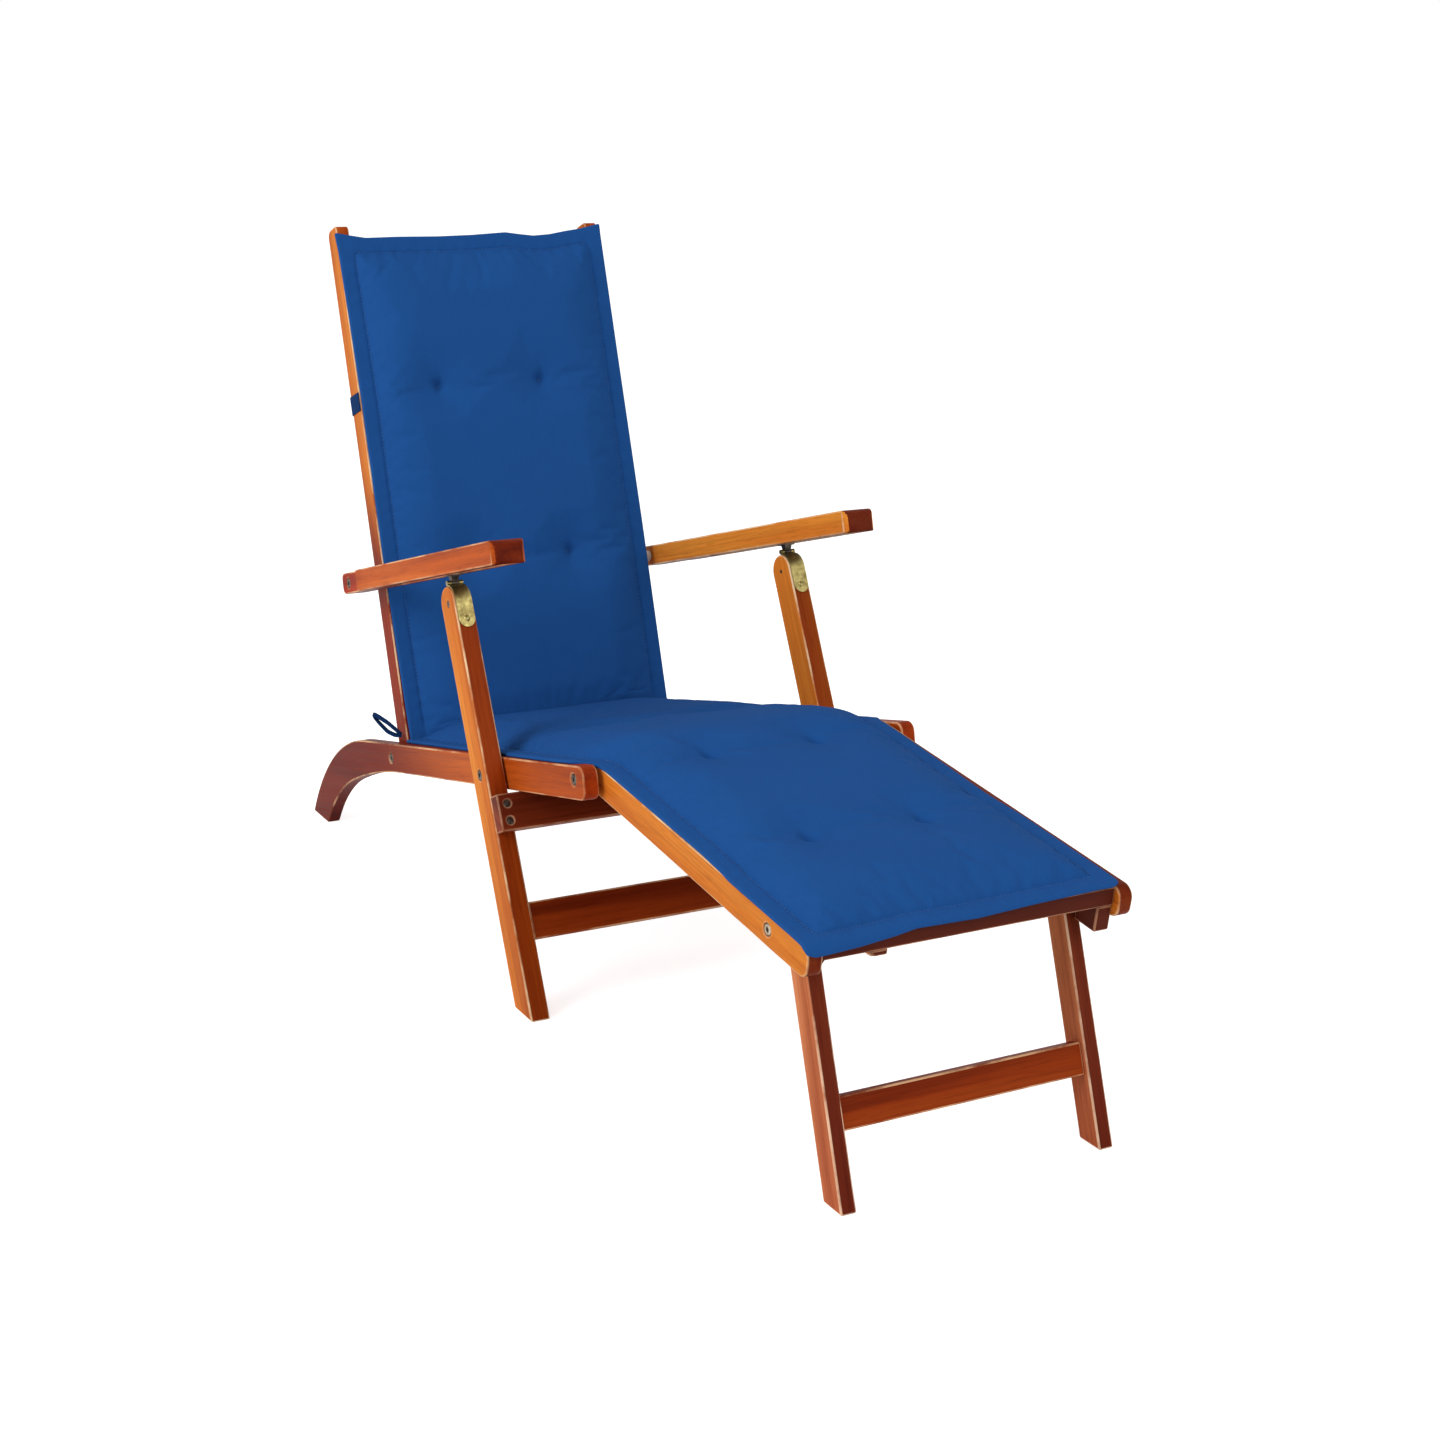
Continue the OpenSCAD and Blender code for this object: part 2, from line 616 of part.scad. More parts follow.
// The block's lower rear edge meets the front face of the right leg
stop_rel = leg_lean + foot_slope;
stop_z = -foot_rail_h / 2 - stop_down;
stop_y = -foot_leg_fore - leg_d / 2 / cos(stop_rel) + stop_z * tan(stop_rel) - stop_gap;
module leg_stop_block() dark_wood() in_foot()
    box([foot_i - stop_w, foot_front_y + 1, stop_z], [foot_i, stop_y, foot_front_s[2]]);
// A small block under the front rail, with its outer lower corner cut off
module front_rail_catch() dark_wood() in_foot() translate([-catch_x, foot_front_s[1], foot_front_s[2]])
    rotate([90, 0, 0]) linear_extrude(height = foot_front_t - 1)
        polygon([[-catch_w, 0], [-catch_w + catch_down, -catch_down], [0, -catch_down], [0, 0]]);
module footrest_leg_bolts() steel() in_foot() translate([0, -foot_leg_fore, 0]) both() bolt(leg_i, foot_o);
module footrest_spacers() nylon() in_foot() both() {
    washer(foot_o, rail_i, foot_spacer_r);
    translate([0, -foot_leg_fore, 0]) washer(leg_o, foot_i, spacer_r);
}
leg_stretcher_y = 6 - leg_d / 2;
leg_stretcher_s = [leg_stretcher_y, leg_stretcher_y + leg_stretcher_t,
    -leg_stretcher_down - leg_stretcher_h, -leg_stretcher_down];
module footrest_leg() wood() in_leg() difference() {
    intersection() {
        board(leg_i, leg_o) union() {
            circle(r = leg_d / 2);
            translate([-leg_d / 2, -500]) square([leg_d, 500]);
        }
        rotate([leg_lean, 0, 0]) translate([0, -1000, -leg_bolt[1]]) cube([1000, 2000, 2000]);
    }
    tenons(leg_i, leg_stretcher_s, tenon_ease);
    bolt_hole(leg_i, leg_o);
}
module footrest_leg_stretcher() wood() in_leg() bar(leg_i, leg_stretcher_s);

// Cushions: each is a closed shell over a grid of pad_m steps across and pad_n along. It is crowned above
// its edges, drawn in along its sides and tufted. cut0 and cut1 shorten its top edge at either end.
pad_m = 16;
pad_n = 24;
function bump(t) = 1 - pow(abs(2 * t - 1), 5);
function tuft_dip(x, y, tufts) = max([for (t = tufts) exp(-(pow(x - t[0], 2) + pow(y - t[1], 2)) / 700)]);
function pad_x(i, half, v) = (2 * i / pad_m - 1) * (half - pad_waist * bump(v));
function pad_over(x, y, u, v, tufts) =
    pad_edge + pad_crown * bump(u) * bump(v) - tuft_depth * tuft_dip(x, y, tufts);
function pad_top(half, len, cut0, cut1, tufts) = [for (j = [0 : pad_n]) for (i = [0 : pad_m])
    let (v = j / pad_n, u = i / pad_m, x = pad_x(i, half, v), y0 = cut0 + (len - cut0 - cut1) * v,
        z = pad_over(x, y0, u, v, tufts)) [x, y0, z]];
function pad_bottom(half, len) = [for (j = [0 : pad_n]) for (i = [0 : pad_m])
    [pad_x(i, half - 4, j / pad_n), len * j / pad_n, 0]];
function pad_at(j, i) = j * (pad_m + 1) + i;
pad_low = (pad_n + 1) * (pad_m + 1);
function quad(a, b, c, d) = [[a, b, c], [a, c, d]];
function pad_faces() = concat(
    [for (j = [0 : pad_n - 1]) for (i = [0 : pad_m - 1])
        each quad(pad_at(j, i), pad_at(j + 1, i), pad_at(j + 1, i + 1), pad_at(j, i + 1))],
    [for (j = [0 : pad_n - 1]) for (i = [0 : pad_m - 1]) each quad(pad_low + pad_at(j, i),
        pad_low + pad_at(j, i + 1), pad_low + pad_at(j + 1, i + 1), pad_low + pad_at(j + 1, i))],
    [for (j = [0 : pad_n - 1]) each quad(pad_low + pad_at(j, 0), pad_low + pad_at(j + 1, 0),
        pad_at(j + 1, 0), pad_at(j, 0))],
    [for (j = [0 : pad_n - 1]) each quad(pad_low + pad_at(j, pad_m), pad_at(j, pad_m),
        pad_at(j + 1, pad_m), pad_low + pad_at(j + 1, pad_m))],
    [for (i = [0 : pad_m - 1]) each quad(pad_low + pad_at(0, i), pad_at(0, i),
        pad_at(0, i + 1), pad_low + pad_at(0, i + 1))],
    [for (i = [0 : pad_m - 1]) each quad(pad_low + pad_at(pad_n, i), pad_low + pad_at(pad_n, i + 1),
        pad_at(pad_n, i + 1), pad_at(pad_n, i))]);
module pad(half, len, cut0, cut1, tufts) {
    polyhedron(points = concat(pad_top(half, len, cut0, cut1, tufts), pad_bottom(half, len)),
        faces = pad_faces());
}
back_pad_half = stile_o - back_pad_in;
seat_pad_half = rail_o - seat_pad_in;
foot_pad_half = foot_o + foot_pad_out;
knee_lift = 46;
knee_ease = 5;
// Half the wedge that the two cushions leave open over the footrest's hinge
knee_a = (knee_lift - seat_slope - foot_slope) / 2;
seat_knee = (seat_top - foot_hinge_rise + pad_lift) * tan(knee_a) + knee_ease;
knee_cut = pad_edge * tan(knee_a) + 1;
// Set-in of the seat cushion's rear end, the footrest cushion's front end and the back cushion's ends
seat_pad_rear = 33;
foot_pad_front = 2;
back_pad_low = 32;
back_pad_down = 12;
seat_pad_len = foot_hinge_fore - seat_knee + back_hinge_aft - seat_pad_rear;
foot_pad_len = foot_len - seat_knee - foot_pad_front;
back_pad_len = back_up - back_pad_down - back_pad_low;
// Tufts in pairs at the given places along a cushion
function pairs(along) = [for (x = [-tuft_x, tuft_x]) for (y = along) [x, y]];
module seat_cushion() fabric() in_seat()
    translate([0, -foot_hinge_fore + seat_knee, seat_top + pad_lift])
        pad(seat_pad_half, seat_pad_len, knee_cut, 0, pairs([seat_tuft_aft - seat_knee]));
module back_cushion() fabric() in_back()
    translate([0, back_front - pad_lift, back_pad_low]) rotate([90, 0, 0])
        pad(back_pad_half, back_pad_len, 0, 0, pairs([back_tuft_up, back_tuft_up + tuft_pitch]));
module footrest_cushion() fabric() in_foot()
    translate([0, -seat_knee, foot_top + pad_lift]) rotate([0, 0, 180])
        pad(foot_pad_half, foot_pad_len, knee_cut, 0,
            pairs([foot_tuft_fore - seat_knee, foot_tuft_fore - seat_knee + tuft_pitch]));

left() seat_rail();  // seat_rail_left
seat_rail();  // seat_rail_right
seat_front_rail();
seat_rear_rail();
for (i = [1 : 5]) seat_slat(i);
seat_cushion();
front_leg_bolts();
backrest_bolts();
footrest_bolts();
left() back_stile();  // back_stile_left
back_stile();  // back_stile_right
back_top_rail();
back_lower_rail();
for (i = [1 : 5]) back_slat(i);
back_cushion();
cushion_strap();
arm_bolts();
arm_spacers();
left() armrest();  // armrest_left
armrest();  // armrest_right
left() arm_track();  // arm_track_left
arm_track();  // arm_track_right
left() front_leg();  // front_leg_left
front_leg();  // front_leg_right
front_crossbar();
lower_stretcher();
front_leg_screws();
front_leg_washers();
left() arm_hinge();  // arm_hinge_left
arm_hinge();  // arm_hinge_right
arm_hinge_screws();
left() arm_hook();  // arm_hook_left
arm_hook();  // arm_hook_right
left() footrest_rail();  // footrest_rail_left
footrest_rail();  // footrest_rail_right
footrest_front_rail();
footrest_rear_rail();
for (i = [1 : 5]) footrest_slat(i);
footrest_cushion();
leg_stop_block();
front_rail_catch();
footrest_leg_bolts();
footrest_spacers();
left() footrest_leg();  // footrest_leg_left
footrest_leg();  // footrest_leg_right
footrest_leg_stretcher();
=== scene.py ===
"""A folding wooden lounge chair: oiled hardwood boards with worn arrises, brass and steel fittings, and one
long tufted blue cushion whose seat part bends at the footrest's hinge."""

import json
import math

import bmesh
import bpy
import numpy as np
from mathutils import Matrix, Vector


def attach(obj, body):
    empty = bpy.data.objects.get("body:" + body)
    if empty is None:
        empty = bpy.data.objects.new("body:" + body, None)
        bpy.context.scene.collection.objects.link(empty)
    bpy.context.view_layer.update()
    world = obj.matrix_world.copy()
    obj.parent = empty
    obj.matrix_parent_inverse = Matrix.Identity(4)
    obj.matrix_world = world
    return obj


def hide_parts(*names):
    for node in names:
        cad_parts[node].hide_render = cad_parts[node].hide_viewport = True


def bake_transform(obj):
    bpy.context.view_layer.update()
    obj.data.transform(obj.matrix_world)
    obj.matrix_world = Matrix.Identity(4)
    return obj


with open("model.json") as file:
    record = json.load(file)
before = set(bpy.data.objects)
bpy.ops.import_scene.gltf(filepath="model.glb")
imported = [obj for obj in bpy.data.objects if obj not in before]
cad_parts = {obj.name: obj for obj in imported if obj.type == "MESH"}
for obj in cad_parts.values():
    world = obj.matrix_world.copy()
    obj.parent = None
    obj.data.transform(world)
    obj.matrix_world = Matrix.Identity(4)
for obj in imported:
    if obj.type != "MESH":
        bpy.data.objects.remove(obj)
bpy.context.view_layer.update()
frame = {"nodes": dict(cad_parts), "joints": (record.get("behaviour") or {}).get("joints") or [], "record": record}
nodes = frame["nodes"]
joints = {j["name"]: j for j in frame["joints"]}


# The chair's joints in the row frame, and how its boards lean or slope, in degrees

def hinge(name):
    """The place of a joint's axis."""
    return Vector(joints[name]["pos_m"])


FOOTREST_BOLT = hinge("footrest_lift")
BACK_BOLT = hinge("back_recline")
FRONT_LEG_LEAN = 26.3
BACK_LEAN = 20.1
SEAT_SLOPE = 12.9
FOOT_SLOPE = 6.9
ARM_SLOPE = 15.3
FOOT_LEG_LEAN = 19.3


def put(name, data):
    """A new object of that name in the scene."""
    thing = bpy.data.objects.new(name, data)
    bpy.context.scene.collection.objects.link(thing)
    return thing


def smooth_mesh(name, points, faces):
    """A mesh of an array of points and a list of faces, shaded smooth."""
    mesh = bpy.data.meshes.new(name)
    mesh.from_pydata(points.tolist(), [], faces)
    mesh.polygons.foreach_set("use_smooth", np.ones(len(faces), bool))
    return mesh


# Materials

def shader(name, roughness=0.5, metallic=0.0):
    """A new material, its node tree and its shader node."""
    material = bpy.data.materials.new(name)
    material.use_nodes = True
    tree = material.node_tree
    bsdf = tree.nodes["Principled BSDF"]
    bsdf.inputs["Roughness"].default_value = roughness
    bsdf.inputs["Metallic"].default_value = metallic
    return material, tree, bsdf


def node(tree, kind, **sockets):
    """Adds a shader node. Keys with a value set its sockets by name, with spaces written as _."""
    n = tree.nodes.new(kind)
    for key, value in sockets.items():
        n.inputs[key.replace("_", " ")].default_value = value
    return n


def link(tree, a, out, b, into):
    """Joins node a's output to node b's input."""
    tree.links.new(a.outputs[out], b.inputs[into])


def maths(tree, operation, *values):
    """A Math node and its output; each value is a (node, output) pair or a plain number."""
    m = tree.nodes.new("ShaderNodeMath")
    m.operation = operation
    for place, value in enumerate(values):
        if isinstance(value, tuple):
            link(tree, *value, m, place)
        else:
            m.inputs[place].default_value = value
    return m, 0


def ramp(tree, source, out, stops):
    """A colour ramp with stops of (place, colour)."""
    r = tree.nodes.new("ShaderNodeValToRGB")
    while len(r.color_ramp.elements) < len(stops):
        r.color_ramp.elements.new(0.5)
    for element, (place, colour) in zip(r.color_ramp.elements, stops):
        element.position = place
        element.color = (*colour, 1)
    link(tree, source, out, r, "Fac")
    return r


def srgb(r, g, b):
    """A colour given as 0 to 255 on screen, as linear light."""
    c = np.array([r, g, b]) / 255
    return tuple(np.where(c <= 0.04045, c / 12.92, ((c + 0.055) / 1.055) ** 2.4).tolist())


def mix(tree, factor, a, b, blend="MIX"):
    """Mixes colours; factor, a and b are each a (node, output) pair or a plain value."""
    m = tree.nodes.new("ShaderNodeMix")
    m.data_type = "RGBA"
    m.blend_type = blend
    for value, socket in ((factor, 0), (a, 6), (b, 7)):
        if isinstance(value, tuple) and isinstance(value[0], bpy.types.Node):
            tree.links.new(value[0].outputs[value[1]], m.inputs[socket])
        else:
            m.inputs[socket].default_value = (*value, 1) if socket else value
    return m, 2


def wood(name, tones, grain=0.0, offset=(0, 0, 0), edge_tint=(0.8, 0.52, 0.45), deepen=None, crosswise=False):
    """Oiled hardwood in four tones: dark, middle, light, and a pale arris tone that is partly wear and partly a
    painted highlight. The grain runs along +Y turned by grain degrees about X, or along X with crosswise: streaks
    come from noise squeezed across the board, broad bands from a slower one and pores from a fine one. The
    attribute worn marks arrises, and edge the faces that don't look sideways, which edge_tint
    darkens as painted shade. deepen is (axis, from, to, tint): along that axis the colour is multiplied by tint
    more and more from one place to the other, so the board gets darker towards one end."""
    # The fourth tone is the pale arris tone: partly wear, partly a painted highlight
    dark, middle, light, worn = tones
    material, tree, bsdf = shader(name, 0.42)
    coords = tree.nodes.new("ShaderNodeTexCoord")
    turn = node(tree, "ShaderNodeMapping", Location=offset, Rotation=(-math.radians(grain), 0, 0))
    link(tree, coords, "Object", turn, "Vector")

    def streaks(scale, detail, rough, bend):
        """Noise with scale's waves per metre across the board, along it and through it."""
        across, lengthwise, high = scale
        squeeze = node(tree, "ShaderNodeMapping", Scale=(lengthwise, across, high) if crosswise else scale)
        link(tree, turn, "Vector", squeeze, "Vector")
        n = node(tree, "ShaderNodeTexNoise", Scale=1.0, Detail=detail, Roughness=rough, Distortion=bend)
        link(tree, squeeze, "Vector", n, "Vector")
        return n

    def by_attribute(title, share):
        """The face attribute times share."""
        a = tree.nodes.new("ShaderNodeAttribute")
        a.attribute_name = title
        return maths(tree, "MULTIPLY", (a, "Fac"), share)

    bands = streaks((20, 0.9, 26), 2.0, 0.5, 0.5)
    lines = streaks((170, 3.2, 210), 4.0, 0.6, 0.3)
    pores = streaks((900, 24, 900), 2.0, 0.5, 0.0)
    cloud = streaks((7, 2.2, 9), 2.0, 0.5, 0.0)
    base = ramp(tree, bands, "Fac", [(0.34, dark), (0.5, middle), (0.66, light)])
    fine = ramp(tree, lines, "Fac", [(0.3, (0.74, 0.66, 0.6)), (0.52, (1, 1, 1)), (0.75, (1.08, 1.07, 1.04))])
    dots = ramp(tree, pores, "Fac", [(0.36, (0.66, 0.58, 0.52)), (0.44, (1, 1, 1))])
    shade = ramp(tree, cloud, "Fac", [(0.35, (0.88, 0.82, 0.78)), (0.62, (1.05, 1.05, 1.04))])
    colour = mix(tree, 0.8, (base, "Color"), (fine, "Color"), "MULTIPLY")
    colour = mix(tree, 0.55, colour, (dots, "Color"), "MULTIPLY")
    colour = mix(tree, 0.8, colour, (shade, "Color"), "MULTIPLY")
    # Darker towards one end: a smooth ramp along the axis mixes in the colour times the tint
    if deepen:
        axis, start, end, tint = deepen
        place = tree.nodes.new("ShaderNodeSeparateXYZ")
        link(tree, coords, "Object", place, "Vector")
        reach = node(tree, "ShaderNodeMapRange", From_Min=start, From_Max=end)
        reach.interpolation_type = "SMOOTHSTEP"
        link(tree, place, "XYZ"[axis], reach, "Value")
        colour = mix(tree, (reach, "Result"), colour, mix(tree, 1.0, colour, tint, "MULTIPLY"))
    # Painted shade: faces that don't look sideways take the colour times their tint, darker than the sides
    shaded_colour = mix(tree, 1.0, colour, edge_tint, "MULTIPLY")
    colour = mix(tree, by_attribute("edge", 1.0), colour, shaded_colour)
    # The pale arris tone, in patches from noise: partly wear, partly a painted highlight
    rub = node(tree, "ShaderNodeTexNoise", Scale=13.0, Detail=4.0, Roughness=0.6)
    link(tree, coords, "Object", rub, "Vector")
    patch = ramp(tree, rub, "Fac", [(0.38, (0.06, 0.06, 0.06)), (0.6, (0.8, 0.8, 0.8))])
    colour = mix(tree, by_attribute("worn", (patch, "Color")), colour, worn)
    tree.links.new(colour[0].outputs[colour[1]], bsdf.inputs["Base Color"])
    gloss = node(tree, "ShaderNodeMapRange", To_Min=0.36, To_Max=0.58)
    link(tree, lines, "Fac", gloss, "Value")
    link(tree, gloss, "Result", bsdf, "Roughness")
    bump = node(tree, "ShaderNodeBump", Strength=0.2, Distance=0.0005)
    link(tree, lines, "Fac", bump, "Height")
    pit = node(tree, "ShaderNodeBump", Strength=0.25, Distance=0.0003)
    link(tree, pores, "Fac", pit, "Height")
    link(tree, bump, "Normal", pit, "Normal")
    link(tree, pit, "Normal", bsdf, "Normal")
    bsdf.inputs["Specular IOR Level"].default_value = 0.05
    return material


def metal(name, colour, dull, roughness, spots=0.5):
    """Plated or tarnished metal: a blotchy tarnish from noise darkens the colour and the gloss."""
    material, tree, bsdf = shader(name, roughness, 1.0)
    coords = tree.nodes.new("ShaderNodeTexCoord")
    blotch = node(tree, "ShaderNodeTexNoise", Scale=90.0, Detail=5.0, Roughness=0.65)
    link(tree, coords, "Object", blotch, "Vector")
    tone = ramp(tree, blotch, "Fac", [(0.35, dull), (0.62, colour)])
    link(tree, tone, "Color", bsdf, "Base Color")
    gloss = node(tree, "ShaderNodeMapRange", From_Min=0.35, From_Max=0.65,
                 To_Min=min(1.0, roughness + 0.25 * spots), To_Max=roughness)
    link(tree, blotch, "Fac", gloss, "Value")
    link(tree, gloss, "Result", bsdf, "Roughness")
    bump = node(tree, "ShaderNodeBump", Strength=0.15, Distance=0.0003)
    link(tree, blotch, "Fac", bump, "Height")
    link(tree, bump, "Normal", bsdf, "Normal")
    return material


def moulded_nylon(name, colour):
    """Plain plastic or thread, slightly cloudy."""
    material, tree, bsdf = shader(name, 0.45)
    coords = tree.nodes.new("ShaderNodeTexCoord")
    cloud = node(tree, "ShaderNodeTexNoise", Scale=60.0, Detail=3.0)
    link(tree, coords, "Object", cloud, "Vector")
    tone = ramp(tree, cloud, "Fac", [(0.3, tuple(0.82 * c for c in colour)), (0.7, colour)])
    link(tree, tone, "Color", bsdf, "Base Color")
    return material


def woven(name, colour, thread=0.0011):
    """Plain canvas weave on the piece's own UV map, whose units are metres: two waves of threads, half a thread
    out of step, give the over and under of the weave."""
    material, tree, bsdf = shader(name, 0.95)
    uv = tree.nodes.new("ShaderNodeUVMap")
    uv.uv_map = "UVMap"
    split = tree.nodes.new("ShaderNodeSeparateXYZ")
    link(tree, uv, "UV", split, "Vector")

    def wave(out):
        """Height of the threads that run one way: a sine across them."""
        return maths(tree, "SINE", maths(tree, "MULTIPLY_ADD", (split, out), math.pi / thread, 0.0))

    over, _ = maths(tree, "MULTIPLY", wave("X"), wave("Y"))
    coords = tree.nodes.new("ShaderNodeTexCoord")
    cloud = node(tree, "ShaderNodeTexNoise", Scale=9.0, Detail=5.0, Roughness=0.6)
    link(tree, coords, "Object", cloud, "Vector")
    slub = node(tree, "ShaderNodeTexNoise", Scale=1.0, Detail=3.0, Roughness=0.7)
    stretch = node(tree, "ShaderNodeMapping", Scale=(700, 40, 1))
    link(tree, uv, "UV", stretch, "Vector")
    link(tree, stretch, "Vector", slub, "Vector")
    dark = tuple(0.80 * c for c in colour)
    light = tuple(min(1, 1.16 * c) for c in colour)
    low, high = tuple(0.93 * c for c in colour), tuple(1.05 * c for c in colour)
    base = ramp(tree, cloud, "Fac", [(0.3, low), (0.7, high)])
    threads = ramp(tree, over, 0, [(0.0, dark), (0.5, colour), (1.0, light)])
    yarn = ramp(tree, slub, "Fac", [(0.3, dark), (0.7, light)])
    tone = mix(tree, 0.35, (base, "Color"), (threads, "Color"))
    tone = mix(tree, 0.25, tone, (yarn, "Color"))
    tree.links.new(tone[0].outputs[tone[1]], bsdf.inputs["Base Color"])
    bump = node(tree, "ShaderNodeBump", Strength=0.35, Distance=0.0004)
    link(tree, over, 0, bump, "Height")
    link(tree, bump, "Normal", bsdf, "Normal")
    bsdf.inputs["Specular IOR Level"].default_value = 0.08
    return material


# Tones are dark, middle and light wood, then the pale arris tone, which is partly wear and partly a painted
# highlight
HONEY = [srgb(184, 92, 26), srgb(208, 114, 34), srgb(222, 134, 48), srgb(250, 216, 170)]
# Paler tones as painted light, for the right leg and armrest, which the lamps leave darker
PAINTED_LIGHT_TONES = [srgb(222, 126, 42), srgb(240, 154, 56), srgb(246, 170, 72), srgb(252, 222, 180)]
RUSSET = [srgb(150, 60, 16), srgb(184, 82, 24), srgb(202, 100, 34), srgb(242, 192, 144)]
ROSY = [srgb(188, 104, 62), srgb(210, 130, 84), srgb(222, 148, 102), srgb(246, 206, 172)]
DARK = [srgb(96, 34, 16), srgb(118, 44, 20), srgb(138, 58, 28), srgb(218, 168, 132)]
DARKEST = [srgb(74, 26, 14), srgb(94, 36, 20), srgb(112, 48, 28), srgb(206, 150, 116)]


def tone_wood(name, tones, grain, seed=0.0, **more):
    """Wood whose grain runs up or along the chair, with a part of the pattern of its own for each seed."""
    return wood(name, tones, grain=grain, offset=(seed, 0.31 * seed, 0.17 * seed), **more)


# Boards: the frame's own shapes with their arrises eased

ARM_NOSE = 0.018


def eased(name, material, body, width=0.0022, segments=3):
    """A copy of a CAD node with flat faces joined up and every arris rounded to width. Face attributes mark the
    arrises for a pale tone that is partly wear and partly a painted highlight, and the faces that don't look
    sideways for painted shade. At an armrest's rounded front end only the facets next to its sides get the pale
    arris tone."""
    source = nodes[name]
    mesh = source.data.copy()
    work = bmesh.new()
    work.from_mesh(mesh)
    bmesh.ops.remove_doubles(work, verts=work.verts, dist=1e-6)
    bmesh.ops.dissolve_limit(work, angle_limit=math.radians(0.4), verts=work.verts, edges=work.edges)
    sharp = [e for e in work.edges if e.is_convex and e.calc_face_angle(0) > math.radians(35)]
    worn = work.faces.layers.float.new("worn")
    edge = work.faces.layers.float.new("edge")
    made = bmesh.ops.bevel(work, geom=sharp, offset=width, offset_type="OFFSET", segments=segments,
                           profile=0.5, affect="EDGES", clamp_overlap=False)
    # Bevel faces are marked for the pale arris tone: partly wear, partly a painted highlight
    for f in made["faces"]:
        f[worn] = 1.0
    work.normal_update()
    # Faces that don't look sideways are marked for painted shade in the material
    for f in work.faces:
        f[edge] = float(abs(f.normal.x) < 0.5)
        f.smooth = True
    # At an armrest's front end the pale arris tone, partly wear and partly a painted highlight, stays on the
    # facets next to its sides
    if "armrest" in name:
        front = min(v.co.y for v in work.verts)
        for f in work.faces:
            if f.calc_center_median().y < front + ARM_NOSE:
                f[worn] = float(0.9 < abs(f.normal.x) < 0.995)
    bmesh.ops.triangulate(work, faces=[f for f in work.faces if len(f.verts) > 4])
    work.to_mesh(mesh)
    work.free()
    mesh.materials.clear()
    mesh.materials.append(material)
    piece = put(name + "_board", mesh)
    shade = piece.modifiers.new("flat faces stay flat", "WEIGHTED_NORMAL")
    shade.keep_sharp = True
    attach(piece, body)
    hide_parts(name)
    return piece


BODY_OF = {n: b for b, ns in frame["record"]["behaviour"]["bodies"].items() for n in ns}
SLOT_OF = {s["node"]: s["material_slot"] for s in frame["record"]["subparts"]}

# This tint darkens the seat's boards more and more from y 0.02 to 0.5 m
rear_tint = (0.34, 0.14, 0.1)
# Each wood's tint for faces that don't look sideways is painted shade on fronts, tops and ends, which get less
# light than the sides
honey_post = tone_wood("honey wood, front legs", HONEY, 90 - FRONT_LEG_LEAN, edge_tint=(0.62, 0.36, 0.3))
# The right front leg gets the paler tones as painted light
painted_light_post = tone_wood("wood with painted light, right front leg", PAINTED_LIGHT_TONES, 90 - FRONT_LEG_LEAN, 0.8, edge_tint=(0.4, 0.2, 0.13))
honey_back = tone_wood("honey wood, back", HONEY, 90 - BACK_LEAN, 3.1,
                       deepen=(2, 0.66, 0.47, (0.4, 0.12, 0.06)))
honey_foot = tone_wood("honey wood, footrest", HONEY, FOOT_SLOPE, 5.7, edge_tint=(0.3, 0.14, 0.2))
russet_seat = tone_wood("russet wood, seat", RUSSET, -SEAT_SLOPE, 1.3, deepen=(1, 0.02, 0.5, rear_tint))
russet_arm = tone_wood("russet wood, armrests", RUSSET, -ARM_SLOPE, 2.2, edge_tint=(0.4, 0.24, 0.4),
                       deepen=(1, 0.4, 0.52, (0.72, 0.26, 0.3)))
# The right armrest gets the paler tones as painted light, and a strong tint of painted shade on faces that don't
# look sideways
painted_light_arm = tone_wood("wood with painted light, right armrest", PAINTED_LIGHT_TONES, -ARM_SLOPE, 1.7, edge_tint=(0.19, 0.07, 0.15))
rosy_leg = tone_wood("rosy wood, footrest legs", ROSY, 90 - FOOT_LEG_LEAN, 4.4, edge_tint=(0.3, 0.14, 0.12),
                     deepen=(2, 0.3, 0.0, (0.8, 0.62, 0.6)))
even = (1.0, 1.0, 1.0)
russet_cross = wood("russet wood, crosswise", RUSSET, offset=(0.7, 0, 0), edge_tint=(0.6, 0.42, 0.4),
                    crosswise=True)
dark_cross = wood("dark wood, crosswise", DARK, offset=(1.9, 0, 0), edge_tint=even, crosswise=True)
darkest_cross = wood("darkest wood, crosswise", DARKEST, offset=(2.6, 0, 0), edge_tint=even, crosswise=True)


def wood_of(name):
    """The wood of a board, by its node's name. The right leg and armrest get paler tones as painted light."""
    right = name.endswith("right")
    if "front_leg" in name:
        return painted_light_post if right else honey_post
    if "footrest_leg" in name and "stretcher" not in name:
        return rosy_leg
    if "back_stile" in name or "back_slat" in name:
        return honey_back
    if "footrest_slat" in name or "footrest_rail" in name:
        return honey_foot
    if "seat_slat" in name or "seat_rail" in name:
        return russet_seat
    if "armrest" in name:
        return painted_light_arm if right else russet_arm
    if name == "front_crossbar":
        return dark_cross
    return darkest_cross if SLOT_OF[name] == "dark_wood" else russet_cross


for n in nodes:
    if SLOT_OF[n] in ("wood", "dark_wood"):
        eased(n, wood_of(n), BODY_OF[n])

